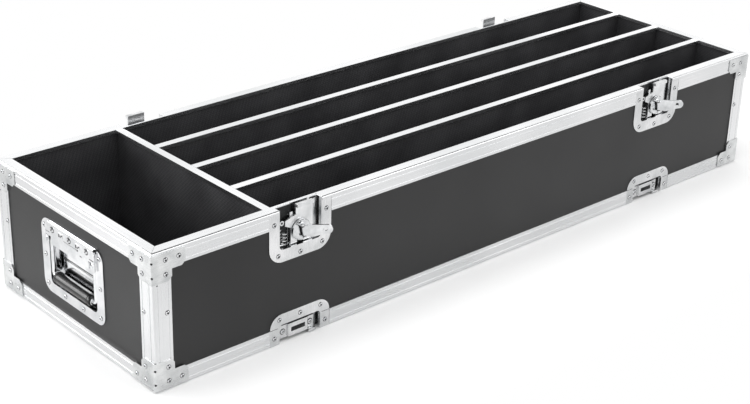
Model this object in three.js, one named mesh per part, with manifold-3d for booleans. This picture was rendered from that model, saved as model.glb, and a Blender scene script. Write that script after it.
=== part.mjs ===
// Flight case base for LED bars: an open tray of laminated panels in aluminium edges, lined and divided,
// with recessed butterfly latches, keepers and spring handles. Millimetres, +Z up, X along the case.
// The origin is the middle of the footprint, and the front with its two near latches looks along -Y.
import * as THREE from 'three';
import { mergeVertices } from 'three/addons/utils/BufferGeometryUtils.js';
import Module from 'manifold-3d';

const wasm = await Module();
wasm.setup();

// Case, over the outer faces of its aluminium edges
const caseLength = 1282;
const caseWidth = 402;
const caseHeight = 212;
const seat = 0.25; // clearance between neighbouring pieces
const panelThickness = 9;
const liningThickness = 4.5; // of its floor
const liningWall = 3.65;
const liningGap = 1.1; // from a panel to the lining's wall

// Aluminium sections
const railWall = 1.5;
const railLeg = 26.5; // upright outer leg of the bottom and rim rails
const footLeg = 26.5; // flat leg of the bottom rails, under the floor
const postLeg = 30;
const rimLip = 6; // inner lip of the rim, over the lining
const edgeRadius = 2.5;
const grooveWidth = 1.6;
const grooveDepth = 0.4;
const grooveInset = 4.5; // from each side of a leg to its groove

// Dividers and their caps
const dividerThickness = 9;
const dividerDrop = 1.5; // caps below the rim
const capWall = 1.5;
const capLeg = 6;
const compartmentLength = 181.5; // accessory compartment, from the rim to the cap of the cross wall
const barSlots = 4;

const sheetSink = 0.5; // how far a stud or a boss is let into what carries it

// Corner braces
const braceSheet = 1.2;
const braceFold = 2; // outer radius of the fold
const braceArm = 53; // along the rail
const braceRise = 43; // along the post
const braceBand = 26; // width of the arm on the rail
const braceLeg = 31; // width of the arm on the post
const braceClip = 6; // clipped outer corners
const braceInset = 3.5; // from the end of the case to the brace
const braceHoleRadius = 1.8;
const braceHoleInset = 10.5;
const braceHolePitch = 21.5;

// Latch: dish, hook, spindle and wing
const latchInset = 251; // from the ends of the case
const spindleDrop = 41; // from the rim down to the spindle
const dishSheet = 1.2;
const dishWidth = 112;
const dishReach = 40; // flange below the spindle
const dishDrop = 5; // flange below the rim
const dishRadius = 24;
const recessWidth = 75;
const recessReach = 21; // pocket below the spindle
const recessDrop = 0.5; // pocket's walls below the rim
const recessRadius = 6;
const recessDepth = 14; // from the outer face of the rails to the back of the pocket
const spindlePlace = 3;
const discRadius = 16;
const discThickness = 4;
const discFace = 0.4; // depth of its face behind the rails
const discRim = 1.5;
const shaftRadius = 5;
const runningGap = 0.8; // between moving faces
const earGap = 16; // between the two ears, filled by the wing's barrel
const earThickness = 3.2;
const earRadius = 3.1;
const wingPinRadius = 1.2;
const wingPinGap = 0.35;
const wingAxis = 2.6; // outward of the rails
const wingBarrel = 2.3;
const wingLength = 42;
const wingWidth = 21;
const wingShoulder = 12; // from the pin to the widest place
const wingTip = 7.5;
const wingSheet = 2.2;
const wingHole = 3;
const wingTilt = 12; // degrees, of the pin on the disc
const wingRest = 45; // degrees out of the face
const hookThickness = 2.6;
const hookTravel = 13;
const hookDrop = 1; // top of the hook below the rim
const hookReach = 19.5; // foot of the hook below the spindle
const hookLeft = -5;
const hookRight = 25;
const hookHip = -14; // left side below the ear
const hookEar = -24;
const hookEarFootRise = 11; // above the spindle, as the next three are
const hookEarTopRise = 19;
const hookNeckRise = 24;
const guideRise = 29;
const hookNose = 4;
const hookNoseRise = 4.5;
const guideWidth = 5;

// Latch spring, upright in the pocket beside the hook, and the boss above it
const springPlace = -27;
const springDepth = 6.3;
const springRadius = 5.2; // of the coil's centre line
const springWire = 0.9;
const springTurns = 4;
const springPitch = 5.2;
const springReach = 17; // foot of the coil below the spindle
const springSteps = 8;
const springSides = 5;
const bossPlace = -30;
const bossRise = 17.5; // above the spindle
const bossRadius = 4;
const bossFace = 5;

// Keeper: half dish with a slotted catch
const keeperWidth = 110;
const keeperTop = 48;
const keeperRadius = 21;
const keeperRecessTop = 30.5;
const catchRight = 27; // free side of the catch, the left one meets the recess wall
const catchFoot = 6;
const catchTop = 26.5;
const catchFace = 4.2; // depth of its side tabs
const catchSheet = 2.2;
const catchStepLeft = -21;
const catchStepRight = 15;
const catchRaise = 2.6;
const catchSlotLeft = -15;
const catchSlotRight = 10;
const catchSlotFoot = 13;
const catchSlotTop = 19.5;
const catchPost = 6;

// Handle: dish, bail and grip
const plateWidth = 160;
const plateHeight = 118;
const plateLift = 0.5; // its middle above the middle of the case
const plateRadius = 18;
const wellWidth = 122;
const wellFootDrop = 43; // below the plate's middle
const wellTopRise = 38.5; // above it, as the other rises of the handle are
const wellRadius = 8;
const wellDepth = 14;
const stripWidth = 128;
const stripFootRise = 24.5;
const stripTopRise = 56.5;
const stripSheet = 2.5;
const stripRise = 1; // clear of the plate's face
const stripRadius = 5;
const stripNotch = 13;
const stripNotchRise = 36.5;
const studPitch = 44.5;
const studPlaceRise = 48.5;
const studRadius = 4;
const studRise = 1.8;
const bailPlace = 56; // its legs, from the middle
const bailRadius = 3.5;
const bailBend = 7;
const bailPivotRise = 31.5;
const bailPivotDepth = 3.2;
const bailDrop = 61;
const bailStub = 39;
const gripRadius = 9;
const gripLength = 94;
const gripRadiusEnd = 1.5;
const blockWidth = 7;
const blockRise = 5; // above and below the pin

const overrun = 2; // how far a cut runs past what it cuts
const roundSteps = 4;
const rodSides = 8;
const pinSides = 12;
const discSides = 24;
const quarter = Math.PI / 2;

// Depths behind the rails' outer face, from the outside in
const panelFace = railWall + seat;
const panelBack = panelFace + panelThickness;
const liningFace = panelBack + liningGap;
const liningBack = liningFace + liningWall;
const rimDepth = liningBack + seat + railWall;
const flangeBack = panelFace - seat;
const flangeFace = flangeBack - dishSheet;
const pocketFloor = recessDepth - dishSheet;
const liningFoot = panelBack + seat;
const floorTop = liningFoot + liningThickness;

// Places and heights that follow from the case's size
const capWidth = dividerThickness + 2 * (seat + capWall);
const capTop = caseHeight - dividerDrop;
const crossPlace = -caseLength / 2 + rimDepth + compartmentLength + capWidth / 2;
const latchPlace = caseLength / 2 - latchInset;
const spindleHeight = caseHeight - spindleDrop;
const dishTop = caseHeight - dishDrop;
const dishBottom = spindleHeight - dishReach;
const recessTop = caseHeight - recessDrop;
const recessBottom = spindleHeight - recessReach;
const hookTop = caseHeight - hookDrop;
const hookFoot = spindleHeight - hookReach;
const hookEarFoot = spindleHeight + hookEarFootRise;
const hookEarTop = spindleHeight + hookEarTopRise;
const hookNeckFoot = spindleHeight + hookNeckRise;
const guideTop = spindleHeight + guideRise;
const plateMiddle = caseHeight / 2 + plateLift;
const wellFoot = plateMiddle - wellFootDrop;
const wellTop = plateMiddle + wellTopRise;
const stripFoot = plateMiddle + stripFootRise;
const stripTop = plateMiddle + stripTopRise;
const stripNotchTop = plateMiddle + stripNotchRise;
const studHeight = plateMiddle + studPlaceRise;
const bailPivotHeight = plateMiddle + bailPivotRise;

const aluminium = { color: 0xd9dbdc, roughness: 0.36, metalness: 0.9 };
const zinc = { color: 0xc9cbcc, roughness: 0.3, metalness: 0.95 };
const chrome = { color: 0xe4e6e8, roughness: 0.1, metalness: 1 };
const laminate = { color: 0x2b2c2e, roughness: 0.5, metalness: 0 };
const foam = { color: 0x1d1d1e, roughness: 0.95, metalness: 0 };
const rubber = { color: 0x151516, roughness: 0.6, metalness: 0 };

const flightCase = new THREE.Group();

// Turns a closed geometry into a solid, by its shared corners alone.
function solidOf(geometry) {
  const bare = new THREE.BufferGeometry();
  bare.setAttribute('position', geometry.getAttribute('position'));
  if (geometry.index) bare.setIndex(geometry.index);
  const merged = mergeVertices(bare);
  const mesh = new wasm.Mesh({
    numProp: 3,
    vertProperties: merged.getAttribute('position').array,
    triVerts: new Uint32Array(merged.index.array),
  });
  return new wasm.Manifold(mesh);
}

// Turns a solid back into a flat-shaded geometry.
function geometryOf(solid) {
  const mesh = solid.getMesh();
  const indexed = new THREE.BufferGeometry();
  indexed.setAttribute('position', new THREE.BufferAttribute(mesh.vertProperties, mesh.numProp));
  indexed.setIndex(new THREE.BufferAttribute(mesh.triVerts, 1));
  const flat = indexed.toNonIndexed();
  flat.computeVertexNormals();
  return flat;
}

function join(first, ...others) {
  return geometryOf(others.reduce((solid, other) => solid.add(solidOf(other)), solidOf(first)));
}

function cut(first, ...others) {
  return geometryOf(others.reduce((solid, other) => solid.subtract(solidOf(other)), solidOf(first)));
}

function meet(first, second) {
  return geometryOf(solidOf(first).intersect(solidOf(second)));
}

// A box between two corners.
function block(x0, x1, y0, y1, z0, z1) {
  const box = new THREE.BoxGeometry(x1 - x0, y1 - y0, z1 - z0);
  return box.translate((x0 + x1) / 2, (y0 + y1) / 2, (z0 + z1) / 2);
}

// Extrusions of a drawn outline along each axis. The outline is drawn in XY, in XZ or in YZ.
function alongZ(shape, z0, z1) {
  const prism = new THREE.ExtrudeGeometry(shape, { depth: z1 - z0, bevelEnabled: false, curveSegments: roundSteps });
  return prism.translate(0, 0, z0);
}

function alongY(shape, y0, y1) {
  const prism = new THREE.ExtrudeGeometry(shape, { depth: y1 - y0, bevelEnabled: false, curveSegments: roundSteps });
  return prism.rotateX(quarter).translate(0, y1, 0);
}

function alongX(shape, x0, x1) {
  const prism = new THREE.ExtrudeGeometry(shape, { depth: x1 - x0, bevelEnabled: false, curveSegments: roundSteps });
  return prism.rotateX(quarter).rotateZ(quarter).translate(x0, 0, 0);
}

// Cylinders along Y and along X.
function rodY(radius, y0, y1, sides) {
  return new THREE.CylinderGeometry(radius, radius, y1 - y0, sides).translate(0, (y0 + y1) / 2, 0);
}

function rodX(radius, x0, x1, sides) {
  return rodY(radius, x0, x1, sides).rotateZ(-quarter);
}

function polygon(points) {
  return new THREE.Shape(points.map(([x, y]) => new THREE.Vector2(x, y)));
}

// A rectangle with its own radius at each corner: lower left, lower right, upper right, upper left.
function roundedRect(x0, x1, y0, y1, [lowLeft, lowRight, highRight, highLeft]) {
  const shape = new THREE.Shape();
  shape.moveTo(x0 + lowLeft, y0);
  shape.lineTo(x1 - lowRight, y0);
  if (lowRight) shape.absarc(x1 - lowRight, y0 + lowRight, lowRight, -quarter, 0);
  shape.lineTo(x1, y1 - highRight);
  if (highRight) shape.absarc(x1 - highRight, y1 - highRight, highRight, 0, quarter);
  shape.lineTo(x0 + highLeft, y1);
  if (highLeft) shape.absarc(x0 + highLeft, y1 - highLeft, highLeft, quarter, Math.PI);
  shape.lineTo(x0, y0 + lowLeft);
  if (lowLeft) shape.absarc(x0 + lowLeft, y0 + lowLeft, lowLeft, Math.PI, 3 * quarter);
  return shape;
}

// A stud standing out along -Y from a face at the given depth.
function stud(x, z, face) {
  const crownShare = 0.62;
  const profile = [
    new THREE.Vector2(0, -sheetSink),
    new THREE.Vector2(studRadius, -sheetSink),
    new THREE.Vector2(studRadius * crownShare, studRise),
    new THREE.Vector2(0, studRise),
  ];
  return new THREE.LatheGeometry(profile, pinSides).rotateX(Math.PI).translate(x, face, z);
}

function addMesh(parent, name, geometry, look) {
  const mesh = new THREE.Mesh(geometry, new THREE.MeshStandardMaterial(look));
  mesh.name = name;
  parent.add(mesh);
  return mesh;
}

// Each side has a frame of its own: X to the right as one looks at it, Y into the case, Z up,
// with its origin at the middle of the outer bottom edge.
function sideFrame(x, y, turn) {
  const frame = new THREE.Group();
  frame.position.set(x, y, 0);
  frame.rotation.z = turn;
  flightCase.add(frame);
  return frame;
}

const sides = {
  front: sideFrame(0, -caseWidth / 2, 0),
  back: sideFrame(0, caseWidth / 2, Math.PI),
  left: sideFrame(-caseLength / 2, 0, -quarter),
  right: sideFrame(caseLength / 2, 0, quarter),
};

// Each corner has a frame whose X and Y both run into the case.
const corners = {
  front_left: sideFrame(-caseLength / 2, -caseWidth / 2, 0),
  front_right: sideFrame(caseLength / 2, -caseWidth / 2, quarter),
  back_right: sideFrame(caseLength / 2, caseWidth / 2, Math.PI),
  back_left: sideFrame(-caseLength / 2, caseWidth / 2, -quarter),
};

// Two shallow grooves down a leg's outer face, as points from low to high.
function groovedFace(low, high) {
  return [low + grooveInset, high - grooveInset - grooveWidth].flatMap((start) => [
    [0, start],
    [grooveDepth, start],
    [grooveDepth, start + grooveWidth],
    [0, start + grooveWidth],
  ]);
}

// Section of a bottom rail: an upright outer leg and a flat leg under the floor. X is depth.
function footSection() {
  const shape = new THREE.Shape();
  shape.moveTo(edgeRadius, 0);
  shape.lineTo(footLeg, 0);
  shape.lineTo(footLeg, railWall);
  shape.lineTo(railWall, railWall);
  shape.lineTo(railWall, railLeg);
  shape.lineTo(0, railLeg);
  groovedFace(edgeRadius, railLeg)
    .reverse()
    .forEach(([x, y]) => shape.lineTo(x, y));
  shape.lineTo(0, edgeRadius);
  shape.absarc(edgeRadius, edgeRadius, edgeRadius, Math.PI, 3 * quarter);
  return shape;
}

// Section of a rim rail: outer leg, flat top over panel and lining, and a short inner lip.
function rimSection() {
  const top = caseHeight;
  const shape = new THREE.Shape();
  shape.moveTo(0, top - railLeg);
  shape.lineTo(railWall, top - railLeg);
  shape.lineTo(railWall, top - railWall);
  shape.lineTo(rimDepth - railWall, top - railWall);
  shape.lineTo(rimDepth - railWall, top - rimLip);
  shape.lineTo(rimDepth, top - rimLip);
  shape.lineTo(rimDepth, top);
  shape.lineTo(edgeRadius, top);
  shape.absarc(edgeRadius, top - edgeRadius, edgeRadius, quarter, Math.PI);
  groovedFace(top - railLeg, top - edgeRadius)
    .reverse()
    .forEach(([x, y]) => shape.lineTo(x, y));
  return shape;
}

// A rail along one side, mitred at both ends.
function mitredRail(section, length, depth) {
  const rail = alongX(section, -length / 2, length / 2);
  const half = length / 2 - seat;
  const wedge = polygon([
    [-half - overrun, -overrun],
    [half + overrun, -overrun],
    [half - depth - overrun, depth + overrun],
    [-half + depth + overrun, depth + overrun],
  ]);
  return meet(rail, alongZ(wedge, -overrun, caseHeight + overrun));
}

// What a latch or a keeper takes out of its neighbours: the flange's notch and the pocket.
function latchNotches(x) {
  const half = dishWidth / 2 + seat;
  const pocket = recessWidth / 2 + dishSheet + seat;
  const foot = caseHeight - railLeg - overrun;
  return [
    block(x - half, x + half, -overrun, panelFace, foot, dishTop + seat),
    block(x - pocket, x + pocket, -overrun, recessDepth + seat, foot, caseHeight + overrun),
  ];
}

function latchPocket(x) {
  const half = recessWidth / 2 + dishSheet + seat;
  const foot = recessBottom - dishSheet - seat;
  return block(x - half, x + half, -overrun, recessDepth + seat, foot, caseHeight + overrun);
}

function keeperNotches(x) {
  const half = keeperWidth / 2 + seat;
  return [block(x - half, x + half, -overrun, panelFace, -overrun, railLeg + overrun), keeperPocket(x)];
}

function keeperPocket(x) {
  const half = recessWidth / 2 + dishSheet + seat;
  return block(x - half, x + half, -overrun, recessDepth + seat, -overrun, keeperRecessTop + dishSheet + seat);
}

const latchPlaces = [-latchPlace, latchPlace];

// What a handle takes out of the end panel and of the lining behind it.
function handlePocket() {
  const grow = dishSheet + seat;
  const half = wellWidth / 2 + grow;
  const round = wellRadius + grow;
  const outline = roundedRect(-half, half, wellFoot - grow, wellTop + grow, [round, round, round, round]);
  return alongY(outline, -overrun, wellDepth + seat);
}

function addRails() {
  for (const [side, frame] of Object.entries(sides)) {
    const long = side === 'front' || side === 'back';
    const length = long ? caseLength : caseWidth;
    let foot = mitredRail(footSection(), length, footLeg);
    let rim = mitredRail(rimSection(), length, rimDepth);
    if (long) {
      foot = cut(foot, ...latchPlaces.flatMap(keeperNotches));
      rim = cut(rim, ...latchPlaces.flatMap(latchNotches));
    }
    addMesh(frame, `bottom_rail_${side}`, foot, aluminium);
    addMesh(frame, `rim_rail_${side}`, rim, aluminium);
  }
}

// Section of a corner post, an angle with a rounded edge. Both legs run into the case.
function postSection() {
  const shape = new THREE.Shape();
  shape.moveTo(postLeg, 0);
  shape.lineTo(postLeg, railWall);
  shape.lineTo(railWall, railWall);
  shape.lineTo(railWall, postLeg);
  shape.lineTo(0, postLeg);
  groovedFace(edgeRadius, postLeg)
    .reverse()
    .forEach(([x, y]) => shape.lineTo(x, y));
  shape.lineTo(0, edgeRadius);
  shape.absarc(edgeRadius, edgeRadius, edgeRadius, Math.PI, 3 * quarter);
  groovedFace(edgeRadius, postLeg).forEach(([x, y]) => shape.lineTo(y, x));
  return shape;
}

function addPosts() {
  for (const [corner, frame] of Object.entries(corners)) {
    const angle = alongZ(postSection(), railLeg + seat, caseHeight - railLeg - seat);
    addMesh(frame, `corner_post_${corner}`, angle, aluminium);
  }
}

// A corner brace: a sheet folded round the post's edge and cut to an L on each face, with two holes on the fold.
// It is drawn as it lies at the bottom, with both faces outside the rails.
function braceGeometry() {
  const out = -seat - braceSheet;
  const fold = new THREE.Shape();
  fold.moveTo(braceArm, out);
  fold.lineTo(braceArm, -seat);
  fold.lineTo(-seat, -seat);
  fold.lineTo(-seat, braceArm);
  fold.lineTo(out, braceArm);
  fold.lineTo(out, out + braceFold);
  fold.absarc(out + braceFold, out + braceFold, braceFold, Math.PI, 3 * quarter);
  const sheet = alongZ(fold, braceInset, braceInset + braceRise);
  const top = braceInset + braceRise;
  const band = braceInset + braceBand;
  const outline = polygon([
    [out - overrun, braceInset - overrun],
    [braceArm + overrun, braceInset - overrun],
    [braceArm + overrun, band - braceClip - overrun],
    [braceArm - braceClip, band],
    [braceLeg, band],
    [braceLeg, top - braceClip],
    [braceLeg - braceClip, top],
    [braceLeg - braceClip, top + overrun],
    [out - overrun, top + overrun],
  ]);
  const trimmed = meet(meet(sheet, alongY(outline, out - overrun, braceArm + overrun)), sideOutline(outline, out));
  const holes = [braceHoleInset, braceHoleInset + braceHolePitch].map((up) =>
    rodY(braceHoleRadius, -braceArm, braceArm, rodSides)
      .rotateZ(-quarter / 2)
      .translate(0, 0, braceInset + up),
  );
  return cut(trimmed, ...holes);
}

// The outline of one face, drawn through the other face.
function sideOutline(outline, out) {
  return alongX(outline, out - overrun, braceArm + overrun);
}

function addBraces() {
  const turnedOver = new THREE.Vector3(1, 1, 0).normalize();
  for (const [corner, frame] of Object.entries(corners)) {
    addMesh(frame, `bottom_brace_${corner}`, braceGeometry(), zinc);
    const upper = addMesh(frame, `top_brace_${corner}`, braceGeometry(), zinc);
    upper.position.z = caseHeight;
    upper.quaternion.setFromAxisAngle(turnedOver, Math.PI);
  }
}

function addPanels() {
  const foot = panelFace;
  const top = caseHeight - railWall - seat;
  for (const side of ['front', 'back']) {
    const half = caseLength / 2 - panelFace;
    const pockets = [...latchPlaces.map(latchPocket), ...latchPlaces.map(keeperPocket)];
    const panel = cut(block(-half, half, panelFace, panelBack, foot, top), ...pockets);
    addMesh(sides[side], `${side}_panel`, panel, laminate);
  }
  for (const side of ['left', 'right']) {
    const half = caseWidth / 2 - panelBack - seat;
    const panel = cut(block(-half, half, panelFace, panelBack, foot, top), handlePocket());
    addMesh(sides[side], `${side}_panel`, panel, laminate);
  }
  // the floor ends behind the keepers' pockets
  const halfLength = caseLength / 2 - panelBack - seat;
  const halfWidth = caseWidth / 2 - recessDepth - seat;
  const floor = block(-halfLength, halfLength, -halfWidth, halfWidth, foot, foot + panelThickness);
  addMesh(flightCase, 'floor_panel', floor, laminate);
}

// A front cutter's copies in the case's own frame, for the front and the back.
function bothSides(cutter) {
  return latchPlaces.flatMap((x) => [
    cutter(x).translate(0, -caseWidth / 2, 0),
    cutter(x).translate(0, -caseWidth / 2, 0).rotateZ(Math.PI),
  ]);
}

function addLining() {
  const halfLength = caseLength / 2 - liningFace;
  const halfWidth = caseWidth / 2 - liningFace;
  const top = caseHeight - railWall - seat;
  const innerLength = halfLength - liningWall;
  const innerWidth = halfWidth - liningWall;
  const tray = cut(
    block(-halfLength, halfLength, -halfWidth, halfWidth, liningFoot, top),
    block(-innerLength, innerLength, -innerWidth, innerWidth, floorTop, top + overrun),
    ...dividerHousings(innerLength, innerWidth),
    ...bothSides(latchPocket),
    ...bothSides(keeperPocket),
    handlePocket().translate(0, -caseLength / 2, 0).rotateZ(-quarter),
    handlePocket().translate(0, -caseLength / 2, 0).rotateZ(quarter),
  );
  addMesh(flightCase, 'foam_lining', tray, foam);
}

// The middles of the long dividers, from the back to the front.
function dividerPlaces() {
  const openWidth = caseWidth - 2 * rimDepth;
  const pitch = (openWidth + capWidth) / barSlots;
  return Array.from({ length: barSlots - 1 }, (_, i) => openWidth / 2 + capWidth / 2 - pitch * (i + 1));
}

// The gaps in the lining's floor where the dividers go through to stand on the floor panel.
function dividerHousings(innerLength, innerWidth) {
  const half = dividerThickness / 2 + seat;
  const foot = liningFoot - overrun;
  const top = floorTop + overrun;
  return [
    block(crossPlace - half, crossPlace + half, -innerWidth, innerWidth, foot, top),
    ...dividerPlaces().map((y) => block(crossPlace, innerLength, y - half, y + half, foot, top)),
  ];
}

// Section of a cap: a channel open downwards, astride a divider.
function capSection() {
  const half = capWidth / 2;
  const inner = half - capWall;
  return polygon([
    [-half, capTop - capLeg],
    [-inner, capTop - capLeg],
    [-inner, capTop - capWall],
    [inner, capTop - capWall],
    [inner, capTop - capLeg],
    [half, capTop - capLeg],
    [half, capTop],
    [-half, capTop],
  ]);
}

// The dividers reach the lining below the rim's lip and stop short of the lip beside it.
function addDividers() {
  const foot = liningFoot;
  const top = capTop - capWall - seat;
  const lipFoot = caseHeight - rimLip - seat;
  const half = dividerThickness / 2;
  const deep = caseWidth / 2 - liningBack - seat;
  const clear = caseWidth / 2 - rimDepth - seat;
  const cross = cut(
    block(crossPlace - half, crossPlace + half, -deep, deep, foot, top),
    block(crossPlace - capWidth, crossPlace + capWidth, clear, deep + overrun, lipFoot, top + overrun),
    block(crossPlace - capWidth, crossPlace + capWidth, -deep - overrun, -clear, lipFoot, top + overrun),
  );
  addMesh(flightCase, 'cross_wall', cross, foam);
  const crossCap = alongX(capSection(), -clear, clear).rotateZ(quarter).translate(crossPlace, 0, 0);
  addMesh(flightCase, 'cross_wall_cap', crossCap, aluminium);

  const far = caseLength / 2 - liningBack - seat;
  const end = caseLength / 2 - rimDepth - seat;
  const start = crossPlace + capWidth / 2 + seat;
  dividerPlaces().forEach((y, index) => {
    const board = cut(
      block(crossPlace + half + seat, far, y - half, y + half, foot, top),
      block(end, far + overrun, y - capWidth, y + capWidth, lipFoot, top + overrun),
      block(crossPlace, start, y - capWidth, y + capWidth, capTop - capLeg - seat, capTop),
    );
    addMesh(flightCase, `divider_${index + 1}`, board, foam);
    addMesh(flightCase, `divider_cap_${index + 1}`, alongX(capSection(), start, end).translate(0, y, 0), aluminium);
  });
}

// A flange with a deep pocket behind its opening, in the frame of its side.
function flangeWithPocket(flange, pocketOuter, pocketInner) {
  const body = join(alongY(flange, flangeFace, flangeBack), alongY(pocketOuter, flangeFace, recessDepth));
  return cut(body, alongY(pocketInner, -overrun, pocketFloor));
}

function latchDish() {
  const half = recessWidth / 2;
  const dish = flangeWithPocket(
    roundedRect(-dishWidth / 2, dishWidth / 2, dishBottom, dishTop, [dishRadius, dishRadius, 0, 0]),
    roundedRect(-half - dishSheet, half + dishSheet, recessBottom - dishSheet, recessTop, [
      recessRadius + dishSheet,
      recessRadius + dishSheet,
      0,
      0,
    ]),
    roundedRect(-half, half, recessBottom, recessTop + overrun, [recessRadius, recessRadius, 0, 0]),
  );
  const guideFace = hookFace + hookThickness + seat;
  const guides = [hookHip + seat, hookRight - guideWidth - seat].map((x) =>
    block(x, x + guideWidth, guideFace, pocketFloor + sheetSink, recessBottom - sheetSink, guideTop),
  );
  const boss = rodY(bossRadius, bossFace, pocketFloor + sheetSink, rodSides);
  return join(dish, ...guides, boss.translate(bossPlace, 0, spindleHeight + bossRise), springCoil());
}

// The centre line of the latch spring: a leg out of the pocket's floor, the coil, and a leg back in.
function springLine() {
  const foot = spindleHeight - springReach;
  const leg = pocketFloor + sheetSink;
  const line = [new THREE.Vector3(springPlace, leg, foot)];
  for (let i = 0; i <= springTurns * springSteps; i += 1) {
    const turn = i / springSteps;
    const angle = 2 * Math.PI * turn;
    line.push(
      new THREE.Vector3(
        springPlace + springRadius * Math.sin(angle),
        springDepth + springRadius * Math.cos(angle),
        foot + springPitch * turn,
      ),
    );
  }
  line.push(new THREE.Vector3(springPlace, leg, foot + springPitch * springTurns));
  return line;
}

function springCoil() {
  return sweptRod(springLine(), new THREE.Vector3(0, 0, 1), springWire, springSides);
}

// The least gap between turns of the spring, measured between points over half a turn apart.
function springGap() {
  const line = springLine();
  const apart = springSteps / 2;
  const gaps = line.flatMap((point, i) => line.slice(i + apart).map((other) => point.distanceTo(other)));
  return Math.min(...gaps) - 2 * springWire;
}

const discBack = discFace + discThickness;
const hookFace = discBack + runningGap;

// The hook plate: a fork astride the spindle, an ear to the left and a neck with a nose turned outward.
function hookPlate() {
  const slot = shaftRadius + runningGap;
  const outline = polygon([
    [hookHip, hookFoot],
    [spindlePlace - slot, hookFoot],
    [spindlePlace - slot, spindleHeight + shaftRadius],
    [spindlePlace - slot / 2, spindleHeight + shaftRadius + slot],
    [spindlePlace + slot / 2, spindleHeight + shaftRadius + slot],
    [spindlePlace + slot, spindleHeight + shaftRadius],
    [spindlePlace + slot, hookFoot],
    [hookRight, hookFoot],
    [hookRight, hookTop],
    [hookLeft, hookTop],
    [hookLeft, hookNeckFoot],
    [hookEar, hookEarTop],
    [hookEar, hookEarFoot],
    [hookHip, hookEarFoot - (hookHip - hookEar) / 2],
  ]);
  const plate = alongY(outline, hookFace, hookFace + hookThickness);
  const nose = block(hookLeft, hookRight, hookFace - hookNose, hookFace + sheetSink, hookTop - hookNoseRise, hookTop);
  return join(plate, nose);
}

// The spindle about its own axis: disc with a raised rim, shaft and the two ears of the wing's pin.
function spindleBody() {
  const shaft = rodY(shaftRadius, discBack - sheetSink, pocketFloor - seat, pinSides);
  const disc = rodY(discRadius, discFace, discBack, discSides);
  const dish = rodY(discRadius - discRim, discFace - overrun, discFace + sheetSink, discSides);
  const ears = [-1, 1].flatMap((way) => {
    const low = way * (earGap / 2 + seat);
    const high = way * (earGap / 2 + seat + earThickness);
    const [z0, z1] = [Math.min(low, high), Math.max(low, high)];
    return [
      block(-earRadius, earRadius, -wingAxis, discFace + discThickness / 2, z0, z1),
      rodY(earRadius, z0, z1, rodSides).rotateX(quarter).translate(0, -wingAxis, 0),
    ];
  });
  const bore = rodY(wingPinRadius + wingPinGap, -discRadius, discRadius, rodSides);
  return cut(join(cut(disc, dish), shaft, ...ears), bore.rotateX(quarter).translate(0, -wingAxis, 0));
}

// The wing about its pin, lying flat along +X: barrel, pin ends and the tapered lobe with its hole.
function wingBody() {
  const half = wingWidth / 2;
  const neck = earGap / 2;
  const start = earRadius + runningGap;
  const lobe = new THREE.Shape();
  lobe.moveTo(0, -neck);
  lobe.lineTo(start, -neck);
  lobe.quadraticCurveTo(wingShoulder / 2, -half, wingShoulder, -half);
  lobe.lineTo(wingLength - wingTip, -wingTip);
  lobe.absarc(wingLength - wingTip, 0, wingTip, -quarter, quarter);
  lobe.lineTo(wingShoulder, half);
  lobe.quadraticCurveTo(wingShoulder / 2, half, start, neck);
  lobe.lineTo(0, neck);
  const hole = new THREE.Path();
  hole.absarc(wingLength - wingTip - wingHole, 0, wingHole, 0, 2 * Math.PI, true);
  lobe.holes.push(hole);
  const barrel = rodY(wingBarrel, -neck, neck, rodSides).rotateX(quarter);
  const pin = rodY(wingPinRadius, -neck - seat - earThickness, neck + seat + earThickness, rodSides).rotateX(quarter);
  return join(alongY(lobe, -wingSheet / 2, wingSheet / 2), barrel, pin);
}

function addLatches() {
  const degree = Math.PI / 180;
  for (const side of ['front', 'back']) {
    const raised = side === 'back';
    latchPlaces.forEach((x, index) => {
      const latch = new THREE.Group();
      latch.position.x = x;
      sides[side].add(latch);
      const label = `${side}_${index + 1}`;
      addMesh(latch, `latch_dish_${label}`, latchDish(), zinc);
      const hook = addMesh(latch, `latch_hook_${label}`, hookPlate(), zinc);
      hook.position.z = raised ? hookTravel : 0;
      const turn = new THREE.Group();
      turn.position.set(spindlePlace, 0, spindleHeight);
      turn.rotation.y = -(wingTilt * degree + (raised ? Math.PI : 0));
      latch.add(turn);
      addMesh(turn, `latch_spindle_${label}`, spindleBody(), chrome);
      const wing = addMesh(turn, `latch_wing_${label}`, wingBody(), chrome);
      wing.position.y = -wingAxis;
      wing.rotation.z = -wingRest * degree;
    });
  }
}

// The keeper: half dish open at the bottom, with the catch standing on two posts in its pocket.
function keeperBody() {
  const half = recessWidth / 2;
  const top = keeperRecessTop;
  const dish = flangeWithPocket(
    roundedRect(-keeperWidth / 2, keeperWidth / 2, seat, keeperTop, [0, 0, keeperRadius, keeperRadius]),
    roundedRect(-half - dishSheet, half + dishSheet, seat, top + dishSheet, [
      0,
      0,
      recessRadius + dishSheet,
      recessRadius + dishSheet,
    ]),
    roundedRect(-half, half, -overrun, top, [0, 0, recessRadius, recessRadius]),
  );
  const catchBack = catchFace + catchSheet;
  const post = [catchBack - sheetSink, pocketFloor + sheetSink, catchFoot, catchTop];
  const plate = join(
    block(-half - sheetSink, catchRight, catchFace, catchBack, catchFoot, catchTop),
    block(catchStepLeft, catchStepRight, catchFace - catchRaise, catchBack, catchFoot, catchTop),
    block(-half - sheetSink, -half + catchPost, ...post),
    block(catchRight - catchPost, catchRight, ...post),
  );
  const slot = block(catchSlotLeft, catchSlotRight, -overrun, catchBack + overrun, catchSlotFoot, catchSlotTop);
  return join(dish, cut(plate, slot));
}

function addKeepers() {
  for (const side of ['front', 'back']) {
    latchPlaces.forEach((x, index) => {
      addMesh(sides[side], `keeper_${side}_${index + 1}`, keeperBody(), zinc).position.x = x;
    });
  }
}

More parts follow.
